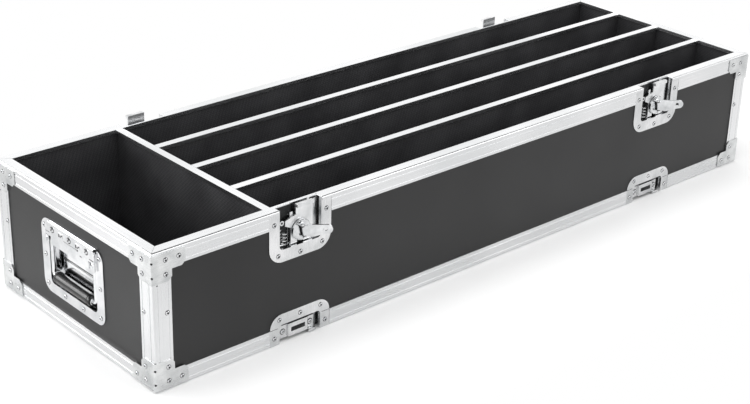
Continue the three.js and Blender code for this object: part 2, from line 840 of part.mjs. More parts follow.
// The handle's dish: plate, well, raised top strip with studs, and the two blocks that carry the bail's pins.
function handleDish() {
  const half = plateWidth / 2;
  const foot = plateMiddle - plateHeight / 2;
  const top = plateMiddle + plateHeight / 2;
  const corner = [plateRadius, plateRadius, plateRadius, plateRadius];
  const outer = wellRadius + dishSheet;
  const well = wellWidth / 2;
  const plate = join(
    alongY(roundedRect(-half, half, foot, top, corner), flangeFace, flangeBack),
    alongY(
      roundedRect(-well - dishSheet, well + dishSheet, wellFoot - dishSheet, wellTop + dishSheet, [
        outer,
        outer,
        outer,
        outer,
      ]),
      flangeFace,
      wellDepth,
    ),
  );
  const hollow = roundedRect(-well, well, wellFoot, wellTop, [wellRadius, wellRadius, wellRadius, wellRadius]);
  const stripBack = flangeFace - stripRise;
  const stripFace = stripBack - stripSheet;
  const strip = join(
    alongY(
      roundedRect(-stripWidth / 2, stripWidth / 2, stripFoot, stripTop, [0, 0, stripRadius, stripRadius]),
      stripFace,
      stripBack,
    ),
    block(-stripWidth / 2, stripWidth / 2, stripBack - sheetSink, flangeBack, wellTop, stripTop - stripRadius),
  );
  const notches = [-bailPlace, bailPlace].map((x) =>
    block(x - stripNotch / 2, x + stripNotch / 2, stripFace - overrun, flangeFace, stripFoot - overrun, stripNotchTop),
  );
  const wellFloor = wellDepth - dishSheet;
  const blocks = [-1, 1].map((way) => {
    const x = way * (bailStub + (blockWidth - overrun) / 2);
    const body = block(
      x - blockWidth / 2,
      x + blockWidth / 2,
      stripBack - sheetSink,
      wellFloor + sheetSink,
      bailPivotHeight - blockRise,
      wellTop + sheetSink,
    );
    const bore = rodX(bailRadius + seat, -bailPlace, bailPlace, pinSides);
    return cut(body, bore.translate(0, bailPivotDepth, bailPivotHeight));
  });
  const studs = [-studPitch, 0, studPitch].map((x) => stud(x, studHeight, stripFace));
  return join(cut(plate, alongY(hollow, -overrun, wellFloor)), cut(strip, ...notches), ...blocks, ...studs);
}

// The bail about its pivot, hanging down: a rod bent to a U, with its two pin ends turned inward.
function bailBody() {
  const path = new THREE.CurvePath();
  const bend = bailBend;
  const corner = (fromX, fromZ, atX, atZ, toX, toZ) =>
    new THREE.QuadraticBezierCurve3(
      new THREE.Vector3(fromX, 0, fromZ),
      new THREE.Vector3(atX, 0, atZ),
      new THREE.Vector3(toX, 0, toZ),
    );
  const straight = (fromX, fromZ, toX, toZ) =>
    new THREE.LineCurve3(new THREE.Vector3(fromX, 0, fromZ), new THREE.Vector3(toX, 0, toZ));
  const x = bailPlace;
  path.add(straight(-bailStub, 0, -x + bend, 0));
  path.add(corner(-x + bend, 0, -x, 0, -x, -bend));
  path.add(straight(-x, -bend, -x, -bailDrop + bend));
  path.add(corner(-x, -bailDrop + bend, -x, -bailDrop, -x + bend, -bailDrop));
  path.add(straight(-x + bend, -bailDrop, x - bend, -bailDrop));
  path.add(corner(x - bend, -bailDrop, x, -bailDrop, x, -bailDrop + bend));
  path.add(straight(x, -bailDrop + bend, x, -bend));
  path.add(corner(x, -bend, x, 0, x - bend, 0));
  path.add(straight(x - bend, 0, bailStub, 0));
  const centres = path.curves.flatMap((curve, index) => {
    const points = curve.getPoints(curve.isQuadraticBezierCurve3 ? roundSteps : 1);
    return index ? points.slice(1) : points;
  });
  return sweptRod(centres, new THREE.Vector3(0, 1, 0), bailRadius, rodSides);
}

// A round rod along a line of points, ring by ring, closed by a cap at each end.
// The first ring's side is carried along from ring to ring.
function sweptRod(centres, firstSide, radius, count) {
  let side = firstSide.clone();
  const positions = [];
  centres.forEach((centre, i) => {
    const before = centres[Math.max(i - 1, 0)];
    const after = centres[Math.min(i + 1, centres.length - 1)];
    const ahead = after.clone().sub(before).normalize();
    side = side.addScaledVector(ahead, -side.dot(ahead)).normalize();
    const other = side.clone().cross(ahead);
    for (let k = 0; k < count; k += 1) {
      const angle = (2 * Math.PI * k) / count;
      const point = centre
        .clone()
        .addScaledVector(other, radius * Math.cos(angle))
        .addScaledVector(side, radius * Math.sin(angle));
      positions.push(point.x, point.y, point.z);
    }
  });
  const indices = [];
  for (let i = 0; i + 1 < centres.length; i += 1) {
    for (let k = 0; k < count; k += 1) {
      const a = i * count + k;
      const b = i * count + ((k + 1) % count);
      indices.push(a, b, b + count, a, b + count, a + count);
    }
  }
  const last = (centres.length - 1) * count;
  for (let k = 1; k + 1 < count; k += 1) {
    indices.push(0, k + 1, k);
    indices.push(last, last + k, last + k + 1);
  }
  const geometry = new THREE.BufferGeometry();
  geometry.setAttribute('position', new THREE.Float32BufferAttribute(positions, 3));
  geometry.setIndex(indices);
  geometry.computeVertexNormals();
  return geometry;
}

// The grip: a rubber sleeve round the bail's lower bar, turned about X.
function gripBody() {
  const half = gripLength / 2;
  const bore = bailRadius + seat;
  const profile = [
    new THREE.Vector2(bore, -half),
    new THREE.Vector2(gripRadius - gripRadiusEnd, -half),
    new THREE.Vector2(gripRadius, -half + gripRadiusEnd),
    new THREE.Vector2(gripRadius, half - gripRadiusEnd),
    new THREE.Vector2(gripRadius - gripRadiusEnd, half),
    new THREE.Vector2(bore, half),
    new THREE.Vector2(bore, -half),
  ];
  return new THREE.LatheGeometry(profile, pinSides).rotateZ(-quarter);
}

function addHandles() {
  for (const side of ['left', 'right']) {
    addMesh(sides[side], `handle_dish_${side}`, handleDish(), zinc);
    const bail = new THREE.Group();
    bail.position.set(0, bailPivotDepth, bailPivotHeight);
    sides[side].add(bail);
    addMesh(bail, `handle_bail_${side}`, bailBody(), chrome);
    addMesh(bail, `handle_grip_${side}`, gripBody(), rubber).position.z = -bailDrop;
  }
}

addPanels();
addRails();
addPosts();
addBraces();
addLining();
addDividers();
addLatches();
addKeepers();
addHandles();

console.log(`latch spring: least gap to itself ${springGap().toFixed(2)} mm`);

export default flightCase;
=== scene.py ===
"""Looks of an LED bar flight case: finishes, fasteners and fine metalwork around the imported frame.

Sizes are in millimetres in the frame of one side of the case, where X runs right as one looks at that
side, Y runs into the case and Z runs up. Each mesh is turned into metres in the row frame once.
"""

import logging
import math
from dataclasses import dataclass, replace
from enum import Enum
from fnmatch import fnmatch
from functools import cache
from typing import Any, Iterable, Sequence

import bmesh
import bpy
from mathutils import Matrix, Vector

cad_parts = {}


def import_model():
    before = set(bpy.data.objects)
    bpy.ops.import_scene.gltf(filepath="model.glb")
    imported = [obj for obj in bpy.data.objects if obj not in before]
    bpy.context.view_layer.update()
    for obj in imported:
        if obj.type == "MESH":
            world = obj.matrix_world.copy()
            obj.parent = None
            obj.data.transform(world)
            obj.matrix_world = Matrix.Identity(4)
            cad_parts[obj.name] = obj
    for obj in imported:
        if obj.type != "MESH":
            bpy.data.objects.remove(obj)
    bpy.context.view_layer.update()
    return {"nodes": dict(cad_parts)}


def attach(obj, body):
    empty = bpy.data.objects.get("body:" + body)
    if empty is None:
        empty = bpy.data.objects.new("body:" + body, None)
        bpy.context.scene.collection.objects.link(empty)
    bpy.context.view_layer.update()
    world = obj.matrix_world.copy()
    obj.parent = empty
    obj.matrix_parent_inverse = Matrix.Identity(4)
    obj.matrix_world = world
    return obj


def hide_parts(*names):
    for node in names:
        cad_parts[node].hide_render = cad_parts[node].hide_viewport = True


Tree = bpy.types.NodeTree
Socket = bpy.types.NodeSocket
Shape = bmesh.types.BMesh
Spot = tuple[float, float]
Spots = tuple[Spot, ...]
Point = tuple[float, float, float]
Four = tuple[float, float, float, float]
# A box by its lowest corner, its highest corner, its rounding and its material number.
Plate = tuple[Point, Point, float, int]
Plates = tuple[Plate, ...]
# A flat disc by its radius, the height of its foot, the height of its top and its number of facets.
Disc = tuple[float, float, float, int]

log = logging.getLogger("flight_case")
MILLIMETRE = 0.001
TO_METRES = Matrix.Scale(MILLIMETRE, 4)
WELD = 0.02 * MILLIMETRE  # a piece's vertices nearer than this become one
LATHE_WELD = 0.001  # millimetres; joins the start and the end of a turned shape
SMOOTH_ANGLE = math.radians(32)  # two faces that meet at less shade as one
ROUNDED_ANGLE = 1.0  # radians; edges that turn further are rounded
HARDWARE_PLACE = 390.0  # from the middle of a long side to its latches and keepers
FLANGE_FACE = 0.3  # depth of the dishes' flanges behind the outer faces of the edges
WHITE = (1, 1, 1, 1)


class Labelled(Enum):
    """A choice that the nodes spell in small letters."""

    @property
    def label(self) -> str:
        """Name as the nodes spell it."""
        return self.name.lower()


class Side(Labelled):
    """The four upright sides, each with the quarter turns of its frame about Z."""

    FRONT = 0
    RIGHT = 1
    BACK = 2
    LEFT = 3


class Corner(Labelled):
    """The four upright edges. X and Y of a corner's frame both run into the case."""

    FRONT_LEFT = 0
    FRONT_RIGHT = 1
    BACK_RIGHT = 2
    BACK_LEFT = 3


class Slot(Enum):
    """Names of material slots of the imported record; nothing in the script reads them."""

    ALUMINIUM = "aluminium_edge"
    ZINC = "zinc_plated_steel"
    CHROME = "chromed_steel"
    FOAM = "lining_foam"
    RUBBER = "grip_rubber"


def at(x: float, y: float, z: float) -> Matrix:
    """Gives the shift by X, Y and Z."""
    return Matrix.Translation((x, y, z))


def turn(degrees: float, axis: str) -> Matrix:
    """Gives the turn about an axis through the origin."""
    return Matrix.Rotation(math.radians(degrees), 4, axis)


@dataclass(frozen=True)
class CaseSize:
    """Outer size of the case over its aluminium edges, with the frames of its sides and corners."""

    length: float = 1282.0
    width: float = 402.0
    height: float = 212.0

    def side(self, side: Side) -> Matrix:
        """Matrix to metres from a side's frame, which starts at the middle of its outer bottom edge."""
        reach = self.length if side.value % 2 else self.width
        return TO_METRES @ turn(90 * side.value, "Z") @ at(0, -reach / 2, 0)

    def corner(self, corner: Corner) -> Matrix:
        """Matrix to metres from a corner's frame, which starts on the case's outer bottom corner."""
        along, across = (self.width, self.length) if corner.value % 2 else (self.length, self.width)
        return TO_METRES @ turn(90 * corner.value, "Z") @ at(-along / 2, -across / 2, 0)


CASE = CaseSize()


def linear(hex_colour: str) -> Four:
    """Turns an sRGB hex colour into linear red, green, blue and a full alpha.

    Args:
        hex_colour: six hex digits after a hash.

    Returns:
        The colour that the shader's socket takes.
    """
    parts = [int(hex_colour[i : i + 2], 16) / 255 for i in (1, 3, 5)]
    red, green, blue = (c / 12.92 if c <= 0.04045 else ((c + 0.055) / 1.055) ** 2.4 for c in parts)
    return red, green, blue, 1.0


def put(name: str, data: bpy.types.ID) -> bpy.types.Object:
    """Makes an object and links it to the scene.

    Args:
        name: the object's name.
        data: its mesh, lamp or camera.

    Returns:
        The object.
    """
    thing = bpy.data.objects.new(name, data)
    bpy.context.scene.collection.objects.link(thing)
    return thing


def fresh_tree(owner: bpy.types.Material | bpy.types.World) -> Tree:
    """Switches the nodes of a material or a world on and clears them.

    Args:
        owner: the material or the world.

    Returns:
        Its empty node tree.
    """
    owner.use_nodes = True
    owner.node_tree.nodes.clear()
    return owner.node_tree


def add_node(tree: Tree, kind: str, inputs: dict | None = None, **settings: Any) -> bpy.types.Node:
    """Adds a node with its settings, its input values and its links.

    Args:
        tree: the node tree to add to.
        kind: Blender's type name of the node.
        inputs: for a socket's name or number, a value or the output socket that it is linked to.
        settings: properties of the node itself.

    Returns:
        The new node.
    """
    node = tree.nodes.new(kind)
    for key, value in settings.items():
        setattr(node, key, value)
    for key, value in (inputs or {}).items():
        if isinstance(value, Socket):
            tree.links.new(value, node.inputs[key])
        else:
            node.inputs[key].default_value = value
    return node


def any_ray(tree: Tree, *kinds: str) -> Socket:
    """Adds a share that is 1 for some kinds of ray and 0 for all others.

    Args:
        tree: the node tree to add to.
        kinds: outputs of the Light Path node.

    Returns:
        The share.
    """
    path = add_node(tree, "ShaderNodeLightPath")
    share = path.outputs[kinds[0]]
    for kind in kinds[1:]:
        both = {0: share, 1: path.outputs[kind]}
        share = add_node(tree, "ShaderNodeMath", both, operation="MAXIMUM").outputs[0]
    return share


@dataclass(frozen=True)
class Finish:
    """A surface between two shades and two roughnesses, with a fine relief.

    The pattern that parts the shades and the relief is a noise. Its grain is a real size in millimetres
    along X, Y and Z, so a drawn or brushed surface has a long grain on one axis.
    """

    name: str
    dark: str
    light: str
    smooth: float
    rough: float
    metallic: float = 0.0
    grain: Point = (2.0, 2.0, 2.0)
    cloud: float = 120.0
    relief: float = 0.05
    depth: float = 0.1
    specular: float = 0.5
    fine_detail: float = 3.0
    cloud_detail: float = 2.0
    # Where the product of grain and cloud reads as the dark shade and as the light one.
    dark_end: float = 0.35
    light_end: float = 1.1

    def build(self) -> bpy.types.Material:
        """Makes the material.

        Returns:
            A node material that reads Object coordinates only.
        """
        material = bpy.data.materials.new(self.name)
        tree = fresh_tree(material)
        place = add_node(tree, "ShaderNodeTexCoord").outputs["Object"]
        fine = self.fine_pattern(tree, place)
        broad = {"Vector": place, "Scale": 1 / (self.cloud * MILLIMETRE), "Detail": self.cloud_detail}
        cloud = add_node(tree, "ShaderNodeTexNoise", broad).outputs["Fac"]
        mixed = {0: fine, 1: cloud, 2: cloud}
        blend = add_node(tree, "ShaderNodeMath", mixed, operation="MULTIPLY_ADD").outputs[0]
        ends = {"Value": blend, "From Min": self.dark_end, "From Max": self.light_end}
        share = add_node(tree, "ShaderNodeMapRange", ends).outputs["Result"]
        shades = {0: share, 6: linear(self.dark), 7: linear(self.light)}
        polish = {"Value": share, "To Min": self.rough, "To Max": self.smooth}
        bump = {"Height": fine, "Strength": self.relief, "Distance": self.depth * MILLIMETRE}
        surface = {
            "Base Color": add_node(tree, "ShaderNodeMix", shades, data_type="RGBA").outputs[2],
            "Roughness": add_node(tree, "ShaderNodeMapRange", polish).outputs["Result"],
            "Normal": add_node(tree, "ShaderNodeBump", bump).outputs["Normal"],
            "Metallic": self.metallic,
            "Specular IOR Level": self.specular,
        }
        shader = add_node(tree, "ShaderNodeBsdfPrincipled", surface)
        add_node(tree, "ShaderNodeOutputMaterial", {"Surface": shader.outputs[0]})
        return material

    def fine_pattern(self, tree: Tree, place: Socket) -> Socket:
        """Adds the noise that carries the grain.

        Args:
            tree: the material's nodes.
            place: Object coordinates in metres.

        Returns:
            The pattern's height, from 0 to 1.
        """
        scale = [1 / (size * MILLIMETRE) for size in self.grain]
        grained = add_node(tree, "ShaderNodeMapping", {"Vector": place, "Scale": scale}).outputs[0]
        noise = {"Vector": grained, "Scale": 1.0, "Detail": self.fine_detail}
        return add_node(tree, "ShaderNodeTexNoise", noise).outputs["Fac"]


@dataclass(frozen=True)
class EmbossedFoam(Finish):
    """Closed-cell foam with a pressed lattice of small square pads."""

    pad: float = 3.2
    unevenness: float = 0.15
    # Distances from a pad's middle, as shares of the pad, where its top ends and where its groove starts.
    pad_end: float = 0.15
    groove_start: float = 0.75

    def fine_pattern(self, tree: Tree, place: Socket) -> Socket:
        """Adds the pressed lattice, turned on edge as the sheet is laid.

        Args:
            tree: the material's nodes.
            place: Object coordinates in metres.

        Returns:
            The pattern's height, from 0 in the grooves to 1 on the pads.
        """
        on_edge = {"Vector": place, "Rotation": (math.pi / 4,) * 3}
        laid = add_node(tree, "ShaderNodeMapping", on_edge).outputs[0]
        cells = {"Vector": laid, "Scale": 1 / (self.pad * MILLIMETRE), "Randomness": self.unevenness}
        pads = add_node(tree, "ShaderNodeTexVoronoi", cells)
        height = {"Value": pads.outputs["Distance"], "From Min": self.groove_start, "From Max": self.pad_end}
        return add_node(tree, "ShaderNodeMapRange", height).outputs["Result"]


def drawn_aluminium(axis: str) -> Finish:
    """Extruded and anodised aluminium: near white and satin, with die lines along its length.

    Real die lines are a few tenths of a millimetre apart. They are drawn 1.6 mm apart to show at all.

    Args:
        axis: the axis along which the section was drawn.

    Returns:
        The finish.
    """
    name = f"anodised_aluminium_along_{axis.lower()}"
    grain = tuple(420.0 if letter == axis else 1.6 for letter in "XYZ")
    finish = Finish(name, "#D0D2D3", "#E8E8E9", 0.22, 0.32, 1.0, grain)
    return replace(finish, cloud=260.0, relief=0.12, depth=0.12)


ALONG_X, ALONG_Y, ALONG_Z = (drawn_aluminium(axis) for axis in "XYZ")
# Bright zinc on pressed steel: white with a cool grey cloud, and a short upright brushing.
ZINC = Finish(
    "bright_zinc_plate", "#BFC1C2", "#E8E8E9", 0.12, 0.22, 1.0, grain=(1.2, 1.2, 14.0), cloud=38.0, relief=0.1
)
# Zinc on the corner braces, brushed harder, so that it reads a shade greyer than the edges under it.
BRUSHED_ZINC = Finish(
    "brushed_zinc_plate", "#BCBEBF", "#E2E3E3", 0.18, 0.32, 1.0,
    grain=(9.0, 9.0, 0.9), cloud=22.0, relief=0.16, depth=0.12,
)
# Bright nickel on the handle's deep drawn dish: nearly a mirror, so the grip shows again in its back.
BRIGHT_NICKEL = Finish(
    "bright_nickel_plate", "#C4C6C8", "#E8E8E9", 0.05, 0.1, 1.0, grain=(2.4, 2.4, 2.4), cloud=30.0, depth=0.08
)
# Satin nickel on the hooks: it spreads what it mirrors, so a hook stays light whatever it faces.
SATIN_NICKEL = Finish(
    "satin_nickel_plate", "#CDCFD0", "#F1F1F2", 0.34, 0.46, 1.0,
    grain=(1.4, 1.4, 8.0), cloud=20.0, relief=0.08, depth=0.08,
)
# Polished chrome: a mirror with the faint haze of handling.
CHROME = Finish(
    "polished_chrome", "#C2C4C6", "#E8E9EA", 0.04, 0.12, 1.0, grain=(5.0, 5.0, 5.0), cloud=18.0, relief=0.02
)
# Aluminium blind rivets and zinc screws: bright, a shade darker than the plate that they hold.
RIVET = Finish("blind_rivet_aluminium", "#B2B5B8", "#E2E2E3", 0.08, 0.14, 1.0, (1.0, 1.0, 1.0), cloud=9.0)
# Near black for the steel mandrel left in a rivet's bore, and painted shade: in the bores, in a screw's
# cross, in the braces' holes, in the rings round heads and in small pressed marks.
MANDREL_AND_SHADE = Finish("mandrel_black_and_painted_shade", "#0B0B0C", "#1C1C1D", 0.5, 0.7, grain=(1.0, 1.0, 1.0), cloud=6.0)
# Near black with a dull gleam, painted as shade: in the pockets behind the latch's spring and the keeper's
# catch, along folds and at the wing's hinge.
PAINTED_SHADE = Finish("painted_shade_near_black", "#141415", "#2C2D2E", 0.3, 0.48, 0.7, cloud=14.0, relief=0.15)
# Phenolic laminate on birch ply: black and satin, with a fine pearl press that breaks up reflections.
LAMINATE = Finish(
    "black_phenolic_laminate", "#080809", "#101011", 0.36, 0.46,
    grain=(1.6, 1.6, 1.6), cloud=150.0, relief=0.1, specular=0.46,
)
# Lining of closed-cell polyethylene foam: matt, near black, with small pressed pads.
FOAM = EmbossedFoam(
    "embossed_black_foam", "#28282A", "#444446", 0.72, 0.94, cloud=90.0, relief=0.5, depth=0.5, specular=0.35
)
# Moulded grip: glossy black rubber with a faint skin.
RUBBER = Finish("glossy_black_rubber", "#0A0A0B", "#151516", 0.16, 0.28, grain=(3.0, 3.0, 3.0), cloud=25.0)
# Finishes of the carried-over nodes. The first pattern that a node's name fits counts.
CARRIED: tuple[tuple[str, Finish], ...] = (
    ("*_rail_front", ALONG_X),
    ("*_rail_back", ALONG_X),
    ("*_rail_*", ALONG_Y),
    ("corner_post_*", ALONG_Z),
    ("cross_wall_cap", ALONG_Y),
    ("divider_cap_*", ALONG_X),
    ("*brace*", BRUSHED_ZINC),
    ("*_panel", LAMINATE),
    ("foam_*", FOAM),
    ("cross_*", FOAM),
    ("divider_*", FOAM),
    ("handle_grip*", RUBBER),
    ("handle_bail*", CHROME),
    ("latch_spindle*", CHROME),
    ("latch_wing*", CHROME),
    ("latch_hook*", SATIN_NICKEL),
    ("handle_dish*", BRIGHT_NICKEL),
    ("*", ZINC),
)


@cache
def material_of(finish: Finish) -> bpy.types.Material:
    """Gives the material of a finish, which is made at its first use."""
    return finish.build()


def fit(
    shape: Shape,
    name: str,
    finishes: Sequence[Finish],
    place: Matrix,
    body: str = "case",
    replaces: str | None = None,
) -> bpy.types.Object:
    """Sets a shape in place as a piece of the case.

    Args:
        shape: the shape in its own frame, in millimetres; it is freed.
        name: the piece's name.
        finishes: its finishes, in the order of the faces' material numbers.
        place: the matrix from the shape's frame to the row frame in metres.
        body: the body that it rides on.
        replaces: the node that it stands for, if it does.

    Returns:
        The piece.
    """
    bmesh.ops.transform(shape, matrix=place, verts=shape.verts)
    bmesh.ops.remove_doubles(shape, verts=shape.verts, dist=WELD)
    bmesh.ops.recalc_face_normals(shape, faces=shape.faces)
    for face in shape.faces:
        face.smooth = True
    for edge in shape.edges:
        edge.smooth = len(edge.link_faces) == 2 and edge.calc_face_angle() < SMOOTH_ANGLE
    mesh = bpy.data.meshes.new(name)
    shape.to_mesh(mesh)
    shape.free()
    for finish in finishes:
        mesh.materials.append(material_of(finish))
    piece = put(name, mesh)
    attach(piece, body)
    if replaces:
        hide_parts(replaces)
    log.info("%s rides on %s", name, body)
    return piece


def turned(profile: Sequence[Spot], steps: int) -> Shape:
    """Turns a profile about the Y axis, as on a lathe.

    Args:
        profile: radius and height above the face, where height runs along -Y.
        steps: number of facets round the axis.

    Returns:
        The turned shape.
    """
    shape = bmesh.new()
    verts = [shape.verts.new((radius, -height, 0)) for radius, height in profile]
    geom = verts + [shape.edges.new(pair) for pair in zip(verts, verts[1:])]
    full = 2 * math.pi
    bmesh.ops.spin(shape, geom=geom, cent=(0, 0, 0), axis=(0, 1, 0), angle=full, steps=steps, use_merge=True)
    bmesh.ops.remove_doubles(shape, verts=shape.verts, dist=LATHE_WELD)
    bmesh.ops.recalc_face_normals(shape, faces=shape.faces)
    return shape


def disc(radius: float, foot: float, top: float, steps: int) -> Shape:
    """Turns a flat disc about Y between the heights of its foot and its top."""
    return turned([(radius, foot), (radius, top), (0, top)], steps)


def gather(target: Shape, source: Shape, places: Iterable[Matrix] = (Matrix.Identity(4),)) -> Shape:
    """Adds copies of one shape to another, and frees the shape that was copied.

    Args:
        target: the shape that grows.
        source: the shape that is copied.
        places: one matrix for each copy; without them it is copied once, as it lies.

    Returns:
        The shape that grew.
    """
    mesh = bpy.data.meshes.new("copy")
    source.to_mesh(mesh)
    source.free()
    for place in places:
        copy = mesh.copy()
        copy.transform(place)
        target.from_mesh(copy)
        bpy.data.meshes.remove(copy)
    bpy.data.meshes.remove(mesh)
    return target


def spread(source: Shape, spots: Iterable[Spot], depth: float) -> Shape:
    """Sets copies of a shape at spots of X and Z, all at one depth."""
    return gather(bmesh.new(), source, [at(x, depth, z) for x, z in spots])


def darken(shape: Shape, beyond: float, within: float = 0.0) -> Shape:
    """Gives material number 1 to the faces that lie far from the Y axis or close to it.

    Args:
        shape: the shape, turned about Y.
        beyond: faces further than this are dark.
        within: faces nearer than this are dark.

    Returns:
        The same shape.
    """
    for face in shape.faces:
        middle = face.calc_center_median()
        away = math.hypot(middle.x, middle.z)
        face.material_index = int(away > beyond or away < within)
    return shape


def round_edges(shape: Shape, edges: Sequence[bmesh.types.BMEdge], offset: float) -> None:
    """Rounds edges of a shape with two segments each."""
    how = {"segments": 2, "profile": 0.5, "affect": "EDGES", "material": -1, "clamp_overlap": True}
    bmesh.ops.bevel(shape, geom=edges, offset=offset, **how)


def sharp_edges(shape: Shape) -> list[bmesh.types.BMEdge]:
    """Finds the edges between two faces that turn sharply."""
    return [edge for edge in shape.edges if edge.calc_face_angle(0) > ROUNDED_ANGLE]


def new_verts(made: dict[str, list]) -> list[bmesh.types.BMVert]:
    """Picks the vertices out of what an extrusion made."""
    return [item for item in made["geom"] if isinstance(item, bmesh.types.BMVert)]


def plates(boxes: Iterable[Plate]) -> Shape:
    """Makes several boxes with rounded edges as one shape.

    Args:
        boxes: the boxes.

    Returns:
        The boxes together.
    """
    shape = bmesh.new()
    for low, high, rounding, number in boxes:
        box = bmesh.new()
        bmesh.ops.create_cube(box, size=1)
        middle = [(a + b) / 2 for a, b in zip(low, high)]
        size = Matrix.Diagonal((*(b - a for a, b in zip(low, high)), 1))
        bmesh.ops.transform(box, matrix=at(*middle) @ size, verts=box.verts)
        round_edges(box, box.edges[:], rounding)
        for face in box.faces:
            face.material_index = number
        gather(shape, box)
    return shape


def upright_grid(along: Spot, across: Spot, depth: float, columns: int = 1, rows: int = 1) -> Shape:
    """Makes a grid that stands in a plane of X and Z.

    Args:
        along: where it starts and ends along X.
        across: where it starts and ends along Z.
        depth: its place along Y.
        columns: its cells along X.
        rows: its cells along Z.

    Returns:
        The grid.
    """
    shape = bmesh.new()
    bmesh.ops.create_grid(shape, x_segments=columns, y_segments=rows, size=0.5)
    size = Matrix.Diagonal((along[1] - along[0], across[1] - across[0], 1, 1))
    middle = at((along[0] + along[1]) / 2, depth, (across[0] + across[1]) / 2)
    bmesh.ops.transform(shape, matrix=middle @ turn(90, "X") @ size, verts=shape.verts)
    return shape


@dataclass
class Fastener:
    """A blind rivet head: a dome on a near-black ring of painted shade, with the bore that its mandrel left,
    near black for the mandrel and as painted shade.
    """

    radius: float = 3.2
    rim_slope: float = 62.0
    rings: tuple[float, ...] = (1.0, 0.8, 0.6)
    bore: float = 1.6
    mouth: float = 1.76
    chamfer: float = 0.15
    # Width and rise of the near-black ring round the head, painted as the shade where it meets the plate.
    shade_ring: float = 0.6
    shade_ring_rise: float = 0.06
    lip: float = 0.2
    sink: float = 0.3
    steps: int = 16

    def shape(self) -> Shape:
        """Builds the head about -Y, standing on the XZ plane.

        Returns:
            The head, whose ring of painted shade and bore have material number 1.
        """
        r, low, shade_ring = self.radius, self.lip, self.radius + self.shade_ring
        slope = math.radians(self.rim_slope)
        ball = r / math.sin(slope)
        angles = [slope * share for share in self.rings] + [math.asin(self.mouth / ball)]
        dome = [(ball * math.sin(t), low + ball * (math.cos(t) - math.cos(slope))) for t in angles]
        profile = [(shade_ring, -self.sink), (shade_ring, self.shade_ring_rise), (r, self.shade_ring_rise), *dome]
        profile += [(self.bore, dome[-1][1] - self.chamfer), (self.bore, low), (0, low)]
        return darken(turned(profile, self.steps), r, self.bore)


@dataclass
class CrossScrew:
    """A raised screw head with a cross pressed into it, drawn as two near-black bars of painted shade, on a
    near-black ring of painted shade.
    """

    radius: float = 4.0
    rise: float = 1.4
    # Radius and height of the crown, as shares of the head's own.
    crown: Spots = ((0.86, 0.72), (0.55, 0.97), (0.0, 1.0))
    rim: float = 0.3
    # Size of each near-black bar painted as the shade in the cross, and how far it is sunk into the crown.
    bar: Point = (4.4, 0.5, 0.8)
    bar_sink: float = 0.2
    shade_ring: float = 0.9
    shade_ring_rise: float = 0.08
    sink: float = 0.3
    steps: int = 24

    def shape(self) -> Shape:
        """Builds the head about -Y, standing on the XZ plane.

        Returns:
            The head, whose ring and cross of painted shade have material number 1.
        """
        r, shade_ring = self.radius, self.radius + self.shade_ring
        profile = [(shade_ring, -self.sink), (shade_ring, self.shade_ring_rise), (r, self.shade_ring_rise), (r, self.rim)]
        profile += [(r * away, self.rise * up) for away, up in self.crown]
        bar = bmesh.new()
        bmesh.ops.create_cube(bar, size=1)
        for face in bar.faces:
            face.material_index = 1
        place = at(0, self.bar_sink - self.rise, 0) @ Matrix.Diagonal((*self.bar, 1))
        head = darken(turned(profile, self.steps), r)
        return gather(head, bar, [turn(degrees, "Y") @ place for degrees in (0, 90)])


@dataclass
class Edges:
    """Fasteners of the corner braces and of the corner posts."""

    brace_face: float = -1.45
    # Distances of the braces' fasteners from the upright edge, and from the floor or the rim.
    brace_rivets: Spots = ((21.0, 14.0), (42.5, 14.0), (21.0, 35.5))
    brace_holes: tuple[float, ...] = (14.0, 35.5)
    # A near-black disc in each hole of a brace's fold, painted as the hole's shade.
    hole: Disc = (1.75, -0.9, 0.55, 12)
    post_rivet: Spot = (22.5, 118.0)
    # Two small pressed marks on each post, painted near black as their shade.
    post_mark_shades: Plates = (
        ((6.0, -0.04, 162.2), (8.6, 0.2, 163.4), 0.02, 1),
        ((3.4, -0.04, 40.8), (6.4, 0.2, 41.6), 0.02, 1),
    )

    def dress(self) -> None:
        """Adds the rivets of every corner, the near-black discs painted as shade in the holes on the braces'
        folds, and the marks painted as shade on the posts.
        """
        for corner in Corner:
            place = CASE.corner(corner)
            for tier, foot, sign in (("bottom", 0, 1), ("top", CASE.height, -1)):
                name = f"{tier}_{corner.label}"
                spots = [(along, foot + sign * away) for along, away in self.brace_rivets]
                fit(self.rivets(spots, self.brace_face), f"brace_rivets_{name}", (RIVET, MANDREL_AND_SHADE), place)
                holes = [at(0, 0, foot + sign * away) @ turn(-45, "Z") for away in self.brace_holes]
                fit(gather(bmesh.new(), disc(*self.hole), holes), f"brace_bores_{name}", (MANDREL_AND_SHADE,), place)
            rivets = gather(self.rivets([self.post_rivet], 0.0), plates(self.post_mark_shades))
            fit(rivets, f"post_rivets_{corner.label}", (RIVET, MANDREL_AND_SHADE), place)

    @staticmethod
    def rivets(spots: Iterable[Spot], depth: float) -> Shape:
        """Sets rivets at the same spots on both faces of a corner.

        Args:
            spots: distance from the edge and height of each.
            depth: depth of the faces behind the edges.

        Returns:
            The rivets in the corner's frame.
        """
        places = []
        for along, up in spots:
            places += [at(along, depth, up), at(depth, along, up) @ turn(-90, "Z")]
        return gather(bmesh.new(), Fastener().shape(), places)


@dataclass
class SideFitting:
    """A fitting on a long side: number 1 stands left of the side's middle and number 2 right of it."""

    side: Side
    number: int

    @property
    def label(self) -> str:
        """Side and number as the nodes spell them."""
        return f"{self.side.label}_{self.number}"

    @property
    def place(self) -> Matrix:
        """Matrix to metres from the fitting's frame, which starts at the foot of its side."""
        return CASE.side(self.side) @ at(HARDWARE_PLACE if self.number == 2 else -HARDWARE_PLACE, 0, 0)


